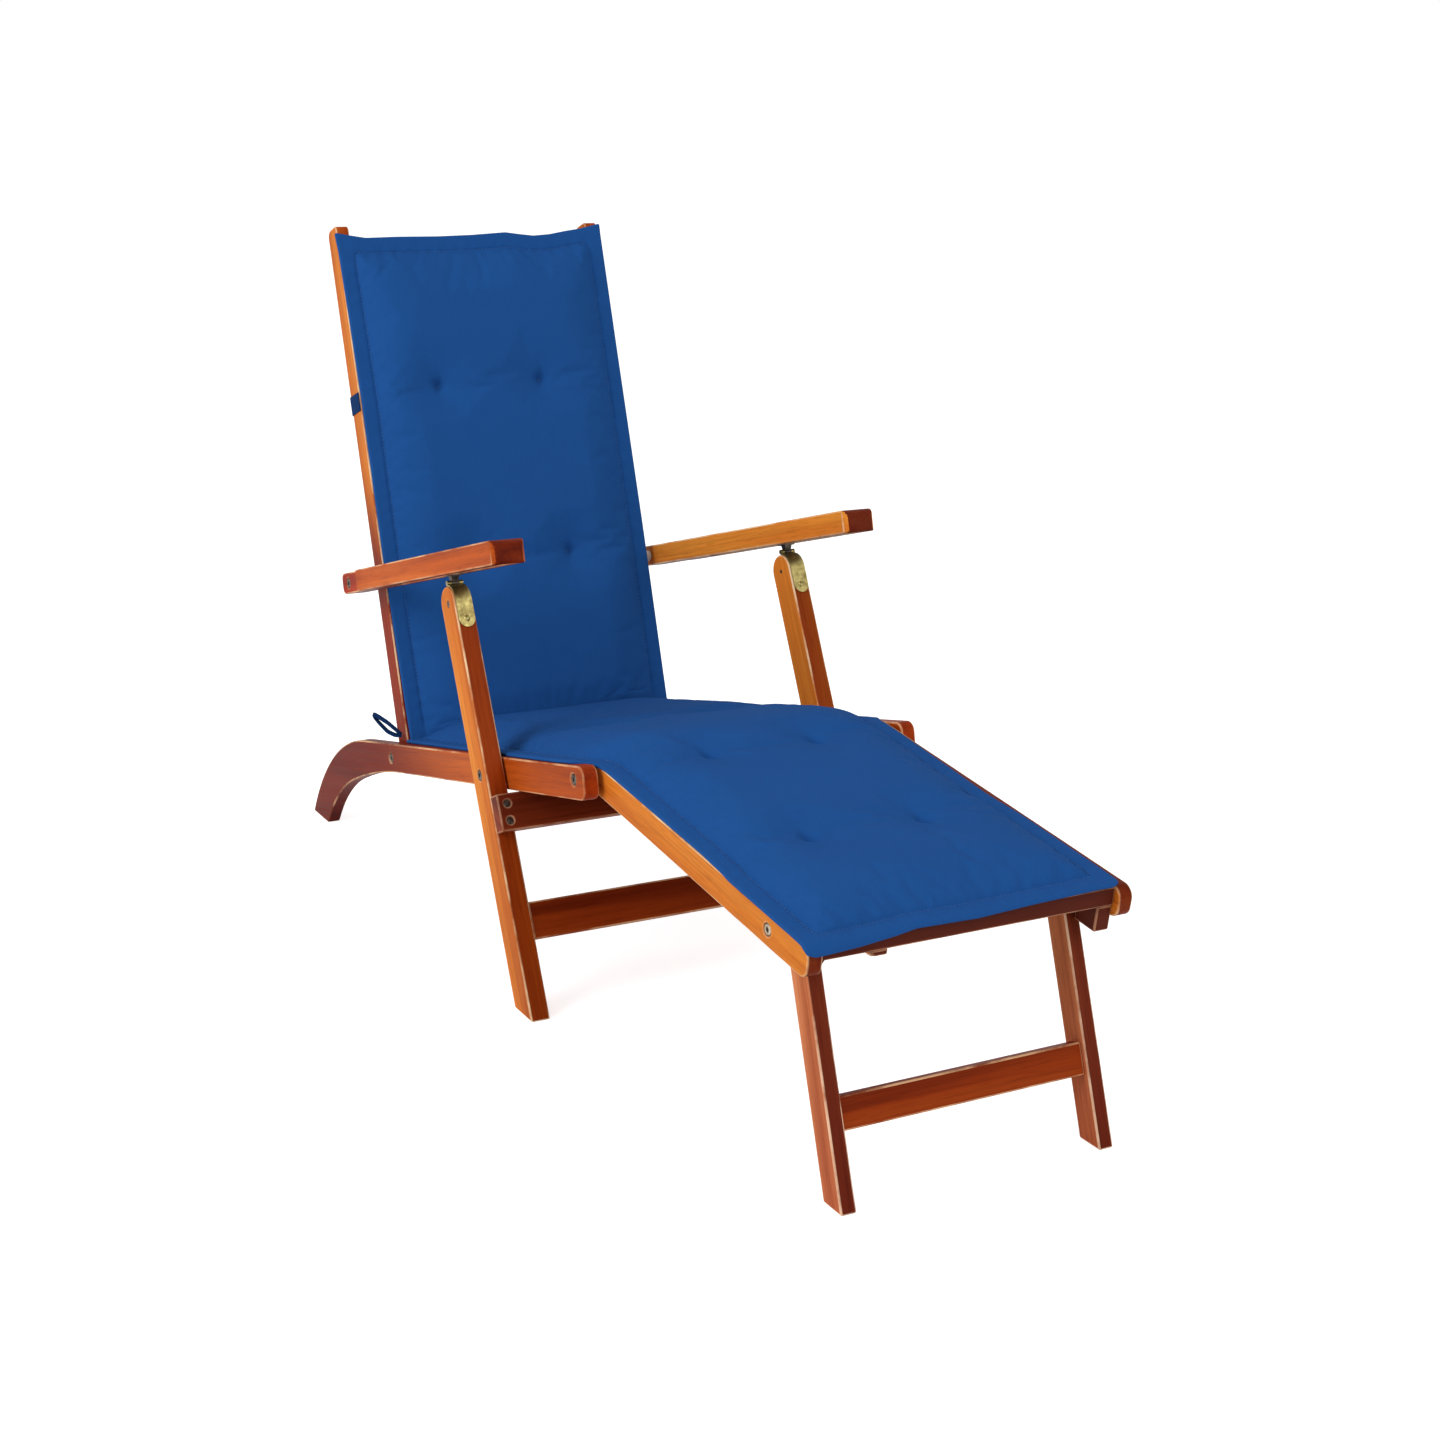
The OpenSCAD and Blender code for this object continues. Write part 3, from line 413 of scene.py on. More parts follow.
steel = metal("plated steel", srgb(104, 96, 88), srgb(52, 44, 40), 0.38)
bright = metal("bright steel", srgb(196, 184, 164), srgb(132, 118, 100), 0.3)
brass = metal("tarnished brass", srgb(172, 158, 100), srgb(126, 112, 66), 0.36)
nylon = moulded_nylon("pale nylon", srgb(226, 218, 204))
blue = woven("blue canvas", srgb(31, 83, 150), 0.0008)
blue_thread = moulded_nylon("blue sewing thread", srgb(34, 84, 146))
strap_blue = woven("blue elastic", srgb(20, 52, 98), 0.0016)
FITTINGS = {"steel": steel, "brass": brass, "nylon": nylon}
for n, o in nodes.items():
    if SLOT_OF[n] in FITTINGS:
        o.data.materials.clear()
        o.data.materials.append(FITTINGS[SLOT_OF[n]])


# Cushions: each is a shell over a grid, in flat places first: x across, t along, and h up from its boards

FLANGE = 0.026
FLANGE_T = 0.005
RISE_OVER = 0.08
CREASE_T = 0.007
THINNEST = 0.0025
TUFT_BELLS = [(0.010, 0.010), (0.006, 0.034)]
SWELL_FRAMES = 20
SWELL_SHARE = 0.75
SWELL_CAP = 0.008
SEAM_LINE = 10


def stations(length, step):
    """Shares of a side's length: close together over the flange and its seam, and step apart between."""
    ends = np.array([0.0, 1.5, 8.0, 15.0, 22.0, 26.0, 30.0, 37.0]) / 1000
    inner = length - 2 * ends[-1]
    between = ends[-1] + inner * np.arange(1, round(inner / step)) / round(inner / step)
    return np.concatenate([ends, between, length - ends[::-1]]) / length


def halved(a, axis):
    """Twice as many cells along an axis: each new line is (-1, 9, 9, -1) / 16 of the four lines beside it."""
    a = np.moveaxis(a, axis, 0)
    padded = np.concatenate([2 * a[:1] - a[1:2], a, 2 * a[-1:] - a[-2:-1]])
    middle = (9 * (padded[1:-2] + padded[2:-1]) - padded[:-3] - padded[3:]) / 16
    out = np.empty((2 * len(a) - 1, *a.shape[1:]))
    out[0::2], out[1::2] = a, middle
    return np.moveaxis(out, 0, axis)


def finer(a):
    """A grid with twice as many cells both ways."""
    return halved(halved(a, 0), 1)


class Cushion:
    """A cushion's plan and its height. left and right are tables of (t, x) for its two edges, start and length
    are tables of (x, t) for its ends at the crease and away from it, and tufts are places (x, t)."""

    def __init__(self, left, right, start, length, tufts, crease, crown, corner, step=0.008):
        self.tufts, self.crease, self.crown, self.corner = tufts, crease, crown, corner
        self.left, self.right, self.start, self.length = left, right, start, length
        self.longest = max(l for _, l in length)
        self.u = stations(right[0][1] - left[0][1], step)
        self.v = stations(self.longest, step)

    def plan(self, u, v):
        """x and t over the grid: straight lines between the edges, with the two far corners drawn in."""
        t = v[:, None] * np.ones(len(u))
        low = np.interp(t * self.longest, *zip(*self.left))
        high = np.interp(t * self.longest, *zip(*self.right))
        x = low + (high - low) * u
        near_end, far_end = np.interp(x, *zip(*self.start)), np.interp(x, *zip(*self.length))
        t = near_end + t * (far_end - near_end)
        r = self.corner
        end = far_end - t
        for side, near in ((1, x - low), (-1, high - x)):
            pull = 0.29 * r * np.clip(1 - near / r, 0, 1) * np.clip(1 - end / r, 0, 1)
            x = x + side * pull
            t = t - pull
        return x, t, np.stack([x - low, high - x, end]), t - near_end

    def height(self, x, t, margins, after):
        """The flange is FLANGE_T thick. Inside its seam the top rises by 1 - (1 - q)^3 over RISE_OVER to the
        crown, sinks round each tuft by the bells of TUFT_BELLS (depth, radius), and ends at the crease in a
        quarter ellipse."""
        soft = 0.005
        e = -soft * np.log(np.exp(-margins / soft).sum(0))
        q = np.clip((e - FLANGE) / RISE_OVER, 0, 1)
        h = FLANGE_T + (self.crown - FLANGE_T) * (1 - (1 - q) ** 3)
        flat, rise = self.crease
        end = np.sqrt(np.clip(1 - (1 - np.clip((after - flat) / rise, 0, 1)) ** 2, 0, 1))
        h = CREASE_T * np.clip(h / CREASE_T, 0, 1) * (1 - end) + h * end
        for a, b in self.tufts:
            r = np.hypot(x - a, t - b)
            for depth, radius in TUFT_BELLS:
                h = h - depth * np.exp(-(r / radius) ** 2)
        return np.maximum(h, THINNEST), e

    def swollen(self, name):
        """How far cloth moves under pressure when it is held at the flange, the tufts and the underside, as x,
        t and h over the grid. Only SWELL_SHARE of it is taken, and SWELL_CAP at most before that."""
        x, t, margins, after = self.plan(self.u, self.v)
        h, e = self.height(x, t, margins, after)
        top = np.stack([x, t, h], -1)
        under = np.stack([x, t, np.zeros_like(h)], -1)
        mesh = shell_mesh(name, top, under)
        thing = put(name, mesh)
        near = np.min([np.hypot(x - a, t - b) for a, b in self.tufts], 0)
        held = (e < FLANGE + 0.001) | (near < 0.007) | (after < 0.02)
        pins = thing.vertex_groups.new(name="held")
        count = top.shape[0] * top.shape[1]
        pins.add(np.flatnonzero(held.ravel()).tolist() + list(range(count, 2 * count)), 1.0, "REPLACE")
        cloth = thing.modifiers.new("cloth", "CLOTH")
        s = cloth.settings
        s.quality = 6
        s.mass = 0.25
        s.tension_stiffness = s.compression_stiffness = 22
        s.shear_stiffness = 6
        s.bending_stiffness = 0.6
        s.use_pressure = True
        s.uniform_pressure_force = 4
        s.shrink_min = -0.012
        s.vertex_group_mass = "held"
        s.effector_weights.gravity = 0
        cloth.point_cache.frame_start, cloth.point_cache.frame_end = 1, SWELL_FRAMES
        for number in range(1, SWELL_FRAMES + 1):
            bpy.context.scene.frame_set(number)
        shape = thing.evaluated_get(bpy.context.evaluated_depsgraph_get()).to_mesh()
        moved = np.empty(len(shape.vertices) * 3)
        shape.vertices.foreach_get("co", moved)
        moved = moved.reshape(-1, 3)[:count].reshape(top.shape) - top
        bpy.data.objects.remove(thing)
        bpy.context.scene.frame_set(1)
        reach = np.linalg.norm(moved, axis=-1, keepdims=True)
        return moved * SWELL_SHARE * np.minimum(1, SWELL_CAP / np.maximum(reach, 1e-9))

    def sheets(self, name):
        """The top and the underside on the finer grid. The seam's groove, small puckers on both its sides, and
        a pit with four folds at each tuft are drawn in, and the outer edge is rounded."""
        swell = finer(self.swollen(name))
        u, v = halved(self.u, 0), halved(self.v, 0)
        x, t, margins, after = self.plan(u, v)
        h, e = self.height(x, t, margins, after)
        top = np.stack([x, t, h], -1) + swell
        along = np.where(margins.argmin(0) < 2, t, x)
        bordered = after > 0.03
        sewn = np.exp(-((e - FLANGE) / 0.0022) ** 2) * bordered
        top[..., 2] -= 0.0016 * sewn * (1 + 0.25 * np.sin(along * 2 * math.pi / 0.021))
        pucker = np.exp(-((e - FLANGE - 0.007) / 0.006) ** 2) + np.exp(-((e - FLANGE + 0.007) / 0.006) ** 2)
        waver = np.sin(along * 2 * math.pi / 0.026 + 2.2 * np.sin(along * 19))
        top[..., 2] += 0.0005 * pucker * waver * bordered
        for a, b in self.tufts:
            r = np.hypot(x - a, t - b)
            turn = np.arctan2(t - b, x - a)
            folds = 0.0013 * np.exp(-(r / 0.03) ** 2) * (1 - np.exp(-(r / 0.008) ** 2))
            top[..., 2] -= 0.003 * np.exp(-(r / 0.005) ** 2) + folds * np.abs(np.cos(2 * turn + 0.3)) ** 6
        outer = np.clip(margins.min(0) / 0.0015, 0, 1)
        top[..., 2] = np.maximum(top[..., 2], 0.0022)
        top[..., 2] = np.where(outer < 1, 0.0034 + (top[..., 2] - 0.0034) * np.sqrt(outer), top[..., 2])
        under = np.stack([x, t, 0.0014 * (1 - np.sqrt(outer))], -1)
        return top, under


def shell_mesh(name, top, under, flat=None):
    """A closed mesh: the grid top, the grid under it and a strip of faces between their borders. The UV map is
    the flat plan in metres, with the underside's 3 m away."""
    rows, columns = top.shape[:2]
    n = rows * columns
    index = np.arange(n).reshape(rows, columns)
    cell = np.stack([index[:-1, :-1], index[:-1, 1:], index[1:, 1:], index[1:, :-1]], -1).reshape(-1, 4)
    ring = np.concatenate([index[0, :-1], index[:-1, -1], index[-1, :0:-1], index[:0:-1, 0]])
    after = np.roll(ring, -1)
    sides = np.stack([ring, ring + n, after + n, after], -1)
    faces = np.concatenate([cell, cell[:, ::-1] + n, sides])
    mesh = smooth_mesh(name, np.concatenate([top.reshape(-1, 3), under.reshape(-1, 3)]), faces.tolist())
    if flat is not None:
        both = np.concatenate([flat.reshape(-1, 2), flat.reshape(-1, 2) + 3.0])
        layer = mesh.uv_layers.new(name="UVMap")
        layer.data.foreach_set("uv", both[faces.ravel()].ravel())
    mesh.update()
    return mesh


def turned(p, degrees):
    """Offsets (along, up) of the last axis turned about X, as (y, z)."""
    a = math.radians(degrees)
    return np.stack([p[..., 0] * math.cos(a) - p[..., 1] * math.sin(a),
                     p[..., 0] * math.sin(a) + p[..., 1] * math.cos(a)], -1)


BACK_FRONT = 0.0203
BACK_START = 0.030


def on_back(flat):
    """Flat places of the back cushion, laid on the front of the back's slats, BACK_START up from the bolt."""
    lying = turned(np.stack([-BACK_FRONT - flat[..., 2], BACK_START + flat[..., 1]], -1), -BACK_LEAN)
    return np.concatenate([flat[..., :1], lying + np.array(BACK_BOLT)[1:]], -1)


SEAT_UP, FOOT_UP = 0.0188, 0.0203
SEAT_BEHIND = 0.644
KNEE_HALF = 0.045
NOSE = 0.519
NOSE_R = 0.0163


def on_seat(flat):
    """Flat places of the long cushion, laid along the seat, round the knee, which is SEAT_BEHIND from the
    crease, and over the footrest's front rail. The underside follows two straight lines, SEAT_UP and FOOT_UP
    over the bolt, joined by a quadratic curve KNEE_HALF long on both sides, and from NOSE on an arc of radius
    NOSE_R. A place stands h off it."""
    knee = np.array(FOOTREST_BOLT)[1:]
    rear, front = turned(np.array([1.0, 0.0]), -SEAT_SLOPE), turned(np.array([-1.0, 0.0]), FOOT_SLOPE)
    up_seat, up_foot = turned(np.array([0.0, 1.0]), -SEAT_SLOPE), turned(np.array([0.0, 1.0]), FOOT_SLOPE)
    over_seat, over_foot = knee + SEAT_UP * up_seat, knee + FOOT_UP * up_foot
    share = np.linalg.solve(np.stack([rear, -front], -1), over_foot - over_seat)
    corner = over_seat + share[0] * rear
    d = (flat[..., 1] - SEAT_BEHIND)[..., None]
    h = flat[..., 2:3]
    f = np.clip((d + KNEE_HALF) / (2 * KNEE_HALF), 0, 1)
    bent = (1 - f) ** 2 * (KNEE_HALF * rear) + f ** 2 * (KNEE_HALF * front)
    place = corner + bent + np.maximum(-d - KNEE_HALF, 0) * rear
    place = place + np.clip(d - KNEE_HALF, 0, NOSE - KNEE_HALF) * front
    off = (1 - f) * up_seat + f * up_foot
    off = off / np.linalg.norm(off, axis=-1, keepdims=True)
    fall = np.maximum(d - NOSE, 0) / NOSE_R
    place = place + NOSE_R * (np.sin(fall) * front + (np.cos(fall) - 1) * up_foot)
    off = np.cos(fall) * off + np.sin(fall) * front
    return np.concatenate([flat[..., :1], place + h * off], -1)


def thread(path, lift, stitch=0.0042, gap=0.0018, r=0.00045):
    """A row of sewn stitches along a path of points, with lift as their outward directions: each stitch is a
    spindle of five rings of six points that dips at both ends."""
    step = np.linalg.norm(np.diff(path, axis=0), axis=1)
    place = np.concatenate([[0], np.cumsum(step)])
    count = int(place[-1] / (stitch + gap))
    rings = np.linspace(0, 1, 5)
    at = (np.arange(count)[:, None] * (stitch + gap) + rings * stitch).ravel()
    centre = np.stack([np.interp(at, place, path[:, k]) for k in range(3)], -1)
    ahead = np.stack([np.interp(at + 0.001, place, path[:, k]) for k in range(3)], -1) - centre
    ahead = ahead / np.maximum(np.linalg.norm(ahead, axis=1, keepdims=True), 1e-9)
    out = np.stack([np.interp(at, place, lift[:, k]) for k in range(3)], -1)
    side = np.cross(ahead, out)
    thick = np.tile(r * np.sqrt(np.clip(1 - (2 * rings - 1) ** 4, 0.06, 1)), count)[:, None]
    centre = centre + out * (0.0003 * np.tile(1 - (2 * rings - 1) ** 2, count)[:, None])
    angle = np.arange(6) * math.pi / 3
    round_it = np.cos(angle)[:, None] * out[:, None] + np.sin(angle)[:, None] * side[:, None]
    points = centre[:, None] + thick[:, None] * round_it
    base = (np.arange(count)[:, None] * 5 + np.arange(4)).ravel()[:, None] * 6
    k = np.arange(6)
    quads = np.stack([base + k, base + (k + 1) % 6, base + 6 + (k + 1) % 6, base + 6 + k], -1).reshape(-1, 4)
    start = (np.arange(count) * 30)[:, None]
    caps = np.concatenate([start + k[::-1], start + 24 + k])
    return points.reshape(-1, 3), quads, caps


def joined(name, parts, material):
    """One mesh of several sets of (points, quads, caps)."""
    points, faces, start = [], [], 0
    for p, quads, caps in parts:
        points.append(p)
        faces += (quads + start).tolist() + (caps + start).tolist()
        start += len(p)
    mesh = smooth_mesh(name, np.concatenate(points), faces)
    mesh.materials.append(material)
    mesh.update()
    piece = put(name, mesh)
    return piece


def make_cushion(name, cushion, lay):
    """The cushion's piece and its stitching: rows along both sides and the end away from the crease, and a
    cross of thread in each tuft."""
    top, under = cushion.sheets(name)
    flat = top[..., :2].copy()
    mesh = shell_mesh(name, lay(top), lay(under), flat)
    mesh.materials.append(blue)
    piece = put(name, mesh)
    raised = top.copy()
    raised[..., 2] += 0.001
    place, outward = lay(top), (lay(raised) - lay(top)) / 0.001
    first = int(np.searchsorted(top[:, 0, 1], 0.035))
    lengthwise, far = slice(first, -SEAM_LINE), -1 - SEAM_LINE
    sewn = [(lengthwise, SEAM_LINE), (lengthwise, far), (far, slice(SEAM_LINE, -SEAM_LINE))]
    parts = [thread(place[row], outward[row]) for row in sewn]
    for a, b in cushion.tufts:
        j, i = np.unravel_index(np.argmin(np.hypot(top[..., 0] - a, top[..., 1] - b)), top.shape[:2])
        centre, out = place[j, i], outward[j, i]
        across = np.array([1.0, 0, 0])
        for way in (across, np.cross(out, across)):
            line = centre + np.linspace(-0.0035, 0.0035, 7)[:, None] * way + out * 0.0008
            parts.append(thread(line, np.tile(out, (7, 1)), stitch=0.0065, gap=0.0004, r=0.0007))
    sewing = joined(name + "_sewing", parts, blue_thread)
    return piece, sewing


def cushion_pieces():
    """The back pad with its sewing, and the seat and footrest pad with its own."""
    back = Cushion(
        left=[(0, -0.227), (0.05, -0.228), (0.3, -0.231), (0.55, -0.230), (0.7, -0.232), (0.79, -0.234),
              (0.83, -0.237)],
        right=[(0, 0.232), (0.3, 0.2345), (0.6, 0.2345), (0.8, 0.235), (0.83, 0.236)],
        start=[(-0.24, -0.024), (-0.21, -0.019), (-0.15, -0.011), (-0.05, -0.004), (0.05, 0.0), (0.24, 0.002)],
        length=[(-0.24, 0.811), (-0.215, 0.806), (-0.185, 0.801), (-0.13, 0.802), (-0.06, 0.8015),
                (0.0, 0.803), (0.06, 0.8065), (0.085, 0.803), (0.11, 0.800), (0.14, 0.802), (0.17, 0.807),
                (0.2, 0.811), (0.24, 0.820)],
        tufts=[(-0.101, 0.553), (0.079, 0.556), (-0.092, 0.268), (0.088, 0.269)],
        crease=(-0.002, 0.02), crown=0.026, corner=0.004)
    back_pieces = make_cushion("back_pad", back, on_back)
    k = SEAT_BEHIND
    droop = np.array([(-0.24, 0.0105), (-0.2, 0.0095), (-0.16, 0.008), (-0.113, 0.005), (-0.082, 0.0025),
                      (-0.042, 0.003), (0.002, 0.0035), (0.088, 0.0015), (0.132, 0.001), (0.178, 0.0005),
                      (0.24, 0.0005)])
    reach = k + NOSE + NOSE_R * np.arccos(1 - droop[:, 1] / NOSE_R)
    seat = Cushion(
        left=[(0, -0.240), (k - 0.4, -0.247), (k - 0.2, -0.251), (k - 0.06, -0.253), (k - 0.024, -0.250),
              (k + 0.003, -0.231), (k + 0.03, -0.2275), (k + 0.285, -0.226), (k + 0.335, -0.228),
              (k + 0.36, -0.2305), (k + 0.5, -0.231), (k + 0.54, -0.232)],
        right=[(0, 0.240), (k - 0.3, 0.242), (k - 0.05, 0.240), (k - 0.024, 0.237), (k + 0.003, 0.224),
               (k + 0.04, 0.217), (k + 0.2, 0.213), (k + 0.27, 0.211), (k + 0.34, 0.215), (k + 0.5, 0.214),
               (k + 0.54, 0.213)],
        start=[(-0.24, -0.006), (0.24, -0.012)], length=list(zip(droop[:, 0].tolist(), reach.tolist())),
        tufts=[(-0.095, k - 0.242), (0.083, k - 0.242), (-0.09, k + 0.06), (0.071, k + 0.06),
               (-0.096, k + 0.318), (0.068, k + 0.318)],
        crease=(0.012, 0.03), crown=0.025, corner=0.012)
    return back_pieces, make_cushion("seat_pad", seat, on_seat)


(back_pad, back_sewing), (seat_pad, seat_sewing) = cushion_pieces()
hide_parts("back_cushion")
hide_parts("seat_cushion", "footrest_cushion")

# The pads and their sewing keep their places, baked into their meshes
for piece in (back_pad, back_sewing):
    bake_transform(piece)
for piece in (seat_pad, seat_sewing):
    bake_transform(piece)


# The strap round the back, and the tape tied at the crease

def back_place(x, fore, up):
    """A place in the back's own directions: fore of the stiles' middle plane, and up from the backrest bolt."""
    return np.concatenate([[x], turned(np.array([-fore, up]), -BACK_LEAN) + np.array(BACK_BOLT)[1:]])


def rounded_path(corners, r, steps=6):
    """A path through the corners, each of them cut by a quadratic curve that starts and ends r from it."""
    points = [corners[0]]
    t = np.linspace(0, 1, steps)[:, None]
    for before, corner, after in zip(corners, corners[1:], corners[2:]):
        a = corner + (before - corner) * min(0.5, r / np.linalg.norm(before - corner))
        b = corner + (after - corner) * min(0.5, r / np.linalg.norm(after - corner))
        points += list((1 - t) ** 2 * a + 2 * t * (1 - t) * corner + t ** 2 * b)
    return np.array(points + [corners[-1]])


def ribbon(name, path, across, width, thick, material, body):
    """A flat band: a rounded oblong of ten points, width by thick, carried along a path with its width along
    across. Its UV map is metres along and across the band. Also gives the band's length."""
    ahead = np.gradient(path, axis=0)
    ahead = ahead / np.linalg.norm(ahead, axis=1, keepdims=True)
    wide = across - (across * ahead).sum(-1, keepdims=True) * ahead
    wide = wide / np.linalg.norm(wide, axis=1, keepdims=True)
    out = np.cross(ahead, wide)
    half, lip = width / 2, thick / 2
    oblong = np.array([(-half, 0), (-half + 0.3 * lip, -0.7 * lip), (-half + lip, -lip), (half - lip, -lip),
                       (half - 0.3 * lip, -0.7 * lip), (half, 0), (half - 0.3 * lip, 0.7 * lip),
                       (half - lip, lip), (-half + lip, lip), (-half + 0.3 * lip, 0.7 * lip)])
    points = path[:, None] + oblong[:, :1] * wide[:, None] + oblong[:, 1:] * out[:, None]
    n, m = len(path), len(oblong)
    base, k = np.arange(n - 1)[:, None] * m, np.arange(m)
    quads = np.stack([base + k, base + m + k, base + m + (k + 1) % m, base + (k + 1) % m], -1).reshape(-1, 4)
    faces = quads.tolist() + [k.tolist(), ((n - 1) * m + k[::-1]).tolist()]
    mesh = smooth_mesh(name, points.reshape(-1, 3), faces)
    along_it = np.concatenate([[0], np.cumsum(np.linalg.norm(np.diff(path, axis=0), axis=1))])
    flat = np.stack([np.repeat(along_it, m), np.tile(oblong[:, 0], n)], -1)
    corner = np.empty(len(mesh.loops), int)
    mesh.loops.foreach_get("vertex_index", corner)
    mesh.uv_layers.new(name="UVMap").data.foreach_set("uv", flat[corner].ravel())
    mesh.materials.append(material)
    mesh.update()
    piece = put(name, mesh)
    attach(piece, body)
    return piece, float(along_it[-1])


STRAP_W, STRAP_T = 0.030, 0.0014
TAPE_W, TAPE_T = 0.010, 0.0012
STRAP_UP = 0.567
side, rear = 0.2331, 0.0211
u_shape = [(-side, 0.02), (-side, -rear), (side, -rear), (side, 0.02)]
path = rounded_path([back_place(x, fore, STRAP_UP) for x, fore in u_shape], 0.004)
path = np.concatenate([np.linspace(a, b, 7)[:-1] for a, b in zip(path, path[1:])] + [path[-1:]])
upward = back_place(0, 0, 1) - back_place(0, 0, 0)
strap, strap_l = ribbon("back_strap", path, upward, STRAP_W, STRAP_T, strap_blue, "backrest")
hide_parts("cushion_strap")

knot = back_place(-0.2385, 0.013, 0.034)
loop = np.array([(0, 0, 0), (-0.006, 0.006, 0.007), (-0.016, 0.016, 0.017), (-0.028, 0.029, 0.026),
                 (-0.0335, 0.034, 0.029), (-0.033, 0.033, 0.0255), (-0.027, 0.025, 0.016),
                 (-0.018, 0.012, 0.004), (-0.008, 0.004, -0.0015), (0.001, 0.0, -0.001)])
path = rounded_path(list(knot + loop), 0.004, 4)
tape_wide = np.array([0.3, 0.8, 0.38])
tape, tape_l = ribbon("tie_tape", path, tape_wide, TAPE_W, TAPE_T, strap_blue, "seat_frame")


# Bolt and screw heads: a domed rim with a recess, on each plain head

def fastener_heads(name):
    """(centre, outward axis, radius) of each fastener's head. A fastener is one island of the node's mesh, its
    axis is the long direction of the island's points, and its head the end with the larger radius, or else the
    outer one."""
    work = bmesh.new()
    work.from_mesh(nodes[name].data)
    bmesh.ops.remove_doubles(work, verts=work.verts, dist=1e-6)
    left, found = set(work.verts), []
    while left:
        island, todo = [], [left.pop()]
        while todo:
            v = todo.pop()
            island.append(v.co[:])
            fresh = [e.other_vert(v) for e in v.link_edges if e.other_vert(v) in left]
            left.difference_update(fresh)
            todo += fresh
        p = np.array(island)
        centre = (p.min(0) + p.max(0)) / 2
        axis = np.linalg.svd(p - p.mean(0))[2][0]
        s = (p - centre) @ axis
        off = np.linalg.norm(p - centre - s[:, None] * axis, axis=1)
        ends = []
        for way in (1, -1):
            radius = off[s * way > (s * way).max() - 0.001].max()
            ends.append((round(radius, 5), abs((centre + way * axis * abs(s).max())[0]), way))
        radius, _, way = max(ends)
        middle = p[off > 0.9 * radius].mean(0)
        aside = (middle - centre) - ((middle - centre) @ axis) * axis
        middle = centre + aside + axis * (s * way).max() * way
        found.append((middle, way * axis, radius))
    work.free()
    return found


def hexagon(angle):
    """Edge of a hexagon socket, as a share of the head's radius."""
    return 0.38 / np.cos((angle + math.pi / 6) % (math.pi / 3) - math.pi / 6)


def cross(angle):
    """Edge of a cross slot, as a share of the head's radius."""
    return 0.17 + 0.4 * np.abs(np.cos(2 * angle)) ** 6


def plain(angle):
    """A button with hardly a hole in it."""
    return 0.02 + 0 * angle


def domed_rims(name, node_name, recess, high, material, heads=None):
    """A ring on each of the node's heads, or on those given: at every angle its section runs from the recess's
    edge up over a dome and down to the rim, and closes along the head's face."""
    angle = np.arange(48) * 2 * math.pi / 48
    inner = recess(angle)[:, None]
    outward = inner + (0.94 - inner) * np.array([0, 0, 0.1, 0.35, 0.65, 0.87, 0.97, 1, 0.5])
    height = high * np.array([-0.05, 0.75, 0.96, 1, 0.93, 0.75, 0.45, -0.05, -0.05])
    n, m = outward.shape
    base, k = np.arange(n)[:, None], np.arange(m)
    beyond, next_k = (base + 1) % n * m, (k + 1) % m
    quads = np.stack([base * m + k, beyond + k, beyond + next_k, base * m + next_k], -1)
    parts = []
    for centre, axis, radius in heads or fastener_heads(node_name):
        first = np.cross(axis, [0.0, 0.0, 1.0])
        first = first / np.linalg.norm(first)
        second = np.cross(axis, first)
        spoke = np.cos(angle)[:, None] * first + np.sin(angle)[:, None] * second
        points = centre + outward[..., None] * radius * spoke[:, None] + height[:, None] * axis
        parts.append((points.reshape(-1, 3), quads.reshape(-1, 4), np.empty((0, 4), int)))
    piece = joined(name, parts, material)
    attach(piece, BODY_OF[node_name])


BOLT_DOME, SCREW_DOME, PLUG_DOME, PLUG_R = 0.0016, 0.0012, 0.0007, 0.003
domed_rims("front_leg_bolt_rims", "front_leg_bolts", hexagon, BOLT_DOME, steel)
domed_rims("backrest_bolt_rims", "backrest_bolts", hexagon, BOLT_DOME, steel)
domed_rims("footrest_bolt_rims", "footrest_bolts", hexagon, BOLT_DOME, steel)
domed_rims("footrest_leg_bolt_rims", "footrest_leg_bolts", hexagon, BOLT_DOME, bright)
domed_rims("arm_bolt_rims", "arm_bolts", hexagon, BOLT_DOME, steel)
domed_rims("front_leg_screw_rims", "front_leg_screws", cross, SCREW_DOME, steel)

# The side screws' far ends, which show as small plugs on the legs' inner faces
leg_inner = min(abs(v.co.x) for v in nodes["front_leg_right"].data.vertices)
far_ends = [(np.array([math.copysign(leg_inner, c[0]), c[1], c[2]]), -a, PLUG_R)
            for c, a, _ in fastener_heads("front_leg_screws") if abs(a[0]) > 0.9]
domed_rims("front_leg_screw_ends", "front_leg_screws", plain, PLUG_DOME, steel, far_ends)


# Camera, floor and light

FOCAL_PIXELS, PHOTO_PIXELS = 2139, 1440
EYE = (-1.4072, -2.6097, 1.2007)


def camera():
    """The photograph's view: 27 degrees to the left of the front and 15 up, rolled by 0.7, long lens."""
    turn, rise, roll = math.radians(-26.99), math.radians(14.88), math.radians(0.70)
    back = Vector((math.sin(turn) * math.cos(rise), -math.cos(turn) * math.cos(rise), math.sin(rise)))
    right = Vector((0, 0, 1)).cross(back).normalized()
    up = back.cross(right)
    x = math.cos(roll) * right + math.sin(roll) * up
    y = -math.sin(roll) * right + math.cos(roll) * up
    data = bpy.data.cameras.new("camera")
    data.sensor_width = 36
    data.lens = FOCAL_PIXELS / PHOTO_PIXELS * data.sensor_width
    data.shift_x = 0.0736
    data.shift_y = -0.0319
    data.clip_end = 100
    eye = put("camera", data)
    eye.matrix_world = Matrix(((x.x, y.x, back.x, EYE[0]), (x.y, y.y, back.y, EYE[1]),
                               (x.z, y.z, back.z, EYE[2]), (0, 0, 0, 1)))
    bpy.context.scene.camera = eye


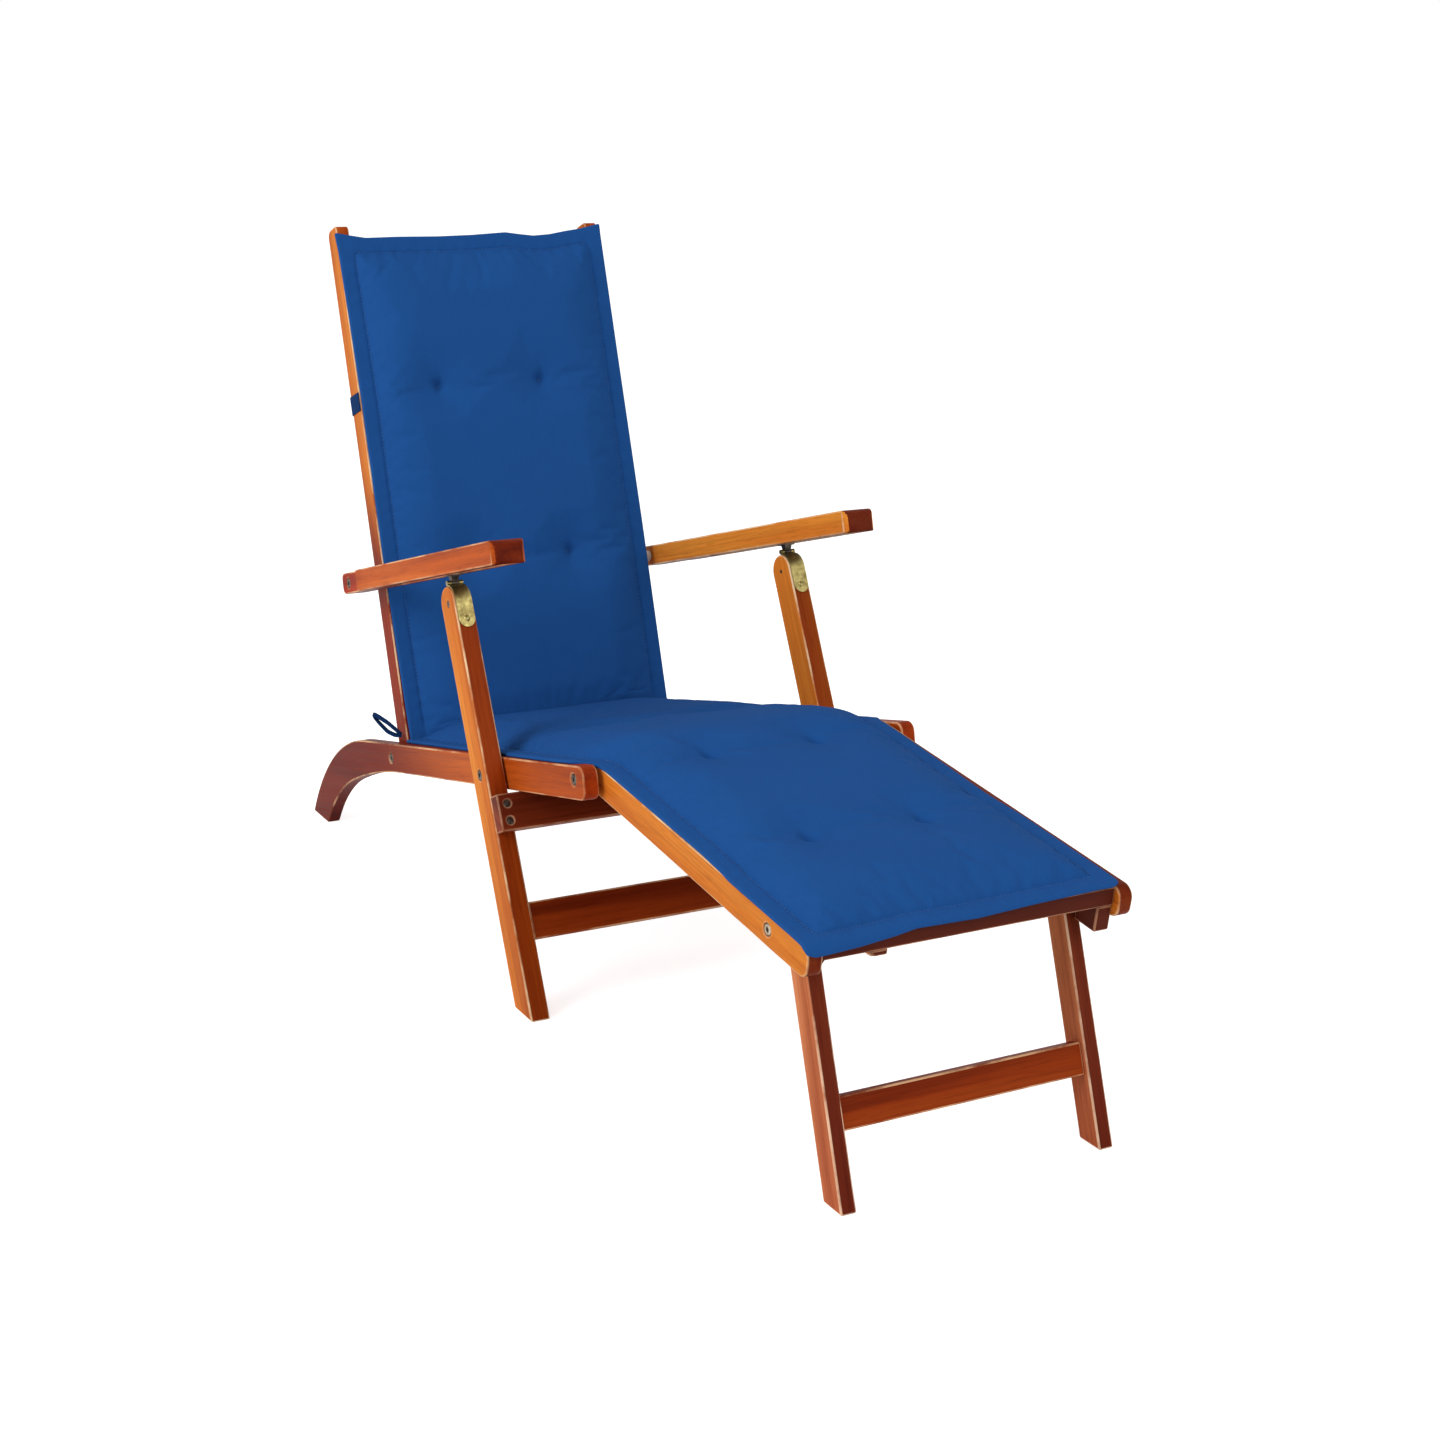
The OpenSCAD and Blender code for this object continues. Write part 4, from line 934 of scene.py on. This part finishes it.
def soft_lamp(name, place, target, size, watts):
    """A round area lamp that looks at target."""
    data = bpy.data.lights.new(name, "AREA")
    data.shape = "DISK"
    data.size = size
    data.energy = watts
    lamp = put(name, data)
    lamp.location = place
    lamp.rotation_euler = (Vector(target) - Vector(place)).to_track_quat("-Z", "Y").to_euler()


def studio():
    """White surroundings for what the camera, gloss and glass see, and an even grey light on the chair."""
    world = bpy.data.worlds.new("studio")
    bpy.context.scene.world = world
    world.use_nodes = True
    tree = world.node_tree
    background = tree.nodes["Background"]
    path = tree.nodes.new("ShaderNodeLightPath")
    seen = maths(tree, "MAXIMUM", (path, "Is Camera Ray"), (path, "Is Glossy Ray"))
    seen = maths(tree, "MAXIMUM", seen, (path, "Is Transmission Ray"))
    strength = node(tree, "ShaderNodeMapRange", To_Min=0.52, To_Max=1.0)
    link(tree, *seen, strength, "Value")
    link(tree, strength, "Result", background, "Strength")
    background.inputs["Color"].default_value = (1, 1, 1, 1)
    chair_middle = (0, 0, 0.4)
    soft_lamp("key", (-4.2, -0.4, 2.7), chair_middle, 3.2, 118)
    soft_lamp("fill", (1.2, -3.8, 2.8), chair_middle, 2.6, 45)


def floor():
    """A wide pale floor. The camera and gloss see it with a glow that reaches white where the floor is in open
    light, so that only the chair's shadow shows."""
    material, tree, bsdf = shader("pale floor", 0.9)
    bsdf.inputs["Base Color"].default_value = (0.9, 0.9, 0.9, 1)
    bsdf.inputs["Specular IOR Level"].default_value = 0.0
    path = tree.nodes.new("ShaderNodeLightPath")
    seen = maths(tree, "MAXIMUM", (path, "Is Camera Ray"), (path, "Is Glossy Ray"))
    glow = tree.nodes.new("ShaderNodeEmission")
    glow.inputs["Color"].default_value = (1, 1, 1, 1)
    strength = node(tree, "ShaderNodeMapRange", To_Min=0.0, To_Max=0.72)
    link(tree, *seen, strength, "Value")
    link(tree, strength, "Result", glow, "Strength")
    both = tree.nodes.new("ShaderNodeAddShader")
    tree.links.new(bsdf.outputs[0], both.inputs[0])
    tree.links.new(glow.outputs[0], both.inputs[1])
    tree.links.new(both.outputs[0], tree.nodes["Material Output"].inputs["Surface"])
    mesh = bpy.data.meshes.new("floor")
    reach = 40
    mesh.from_pydata([(-reach, -reach, 0), (reach, -reach, 0), (reach, reach, 0), (-reach, reach, 0)],
                     [], [(0, 1, 2, 3)])
    mesh.materials.append(material)
    put("floor", mesh)


camera()
studio()
floor()
bpy.context.scene.view_settings.view_transform = "Standard"
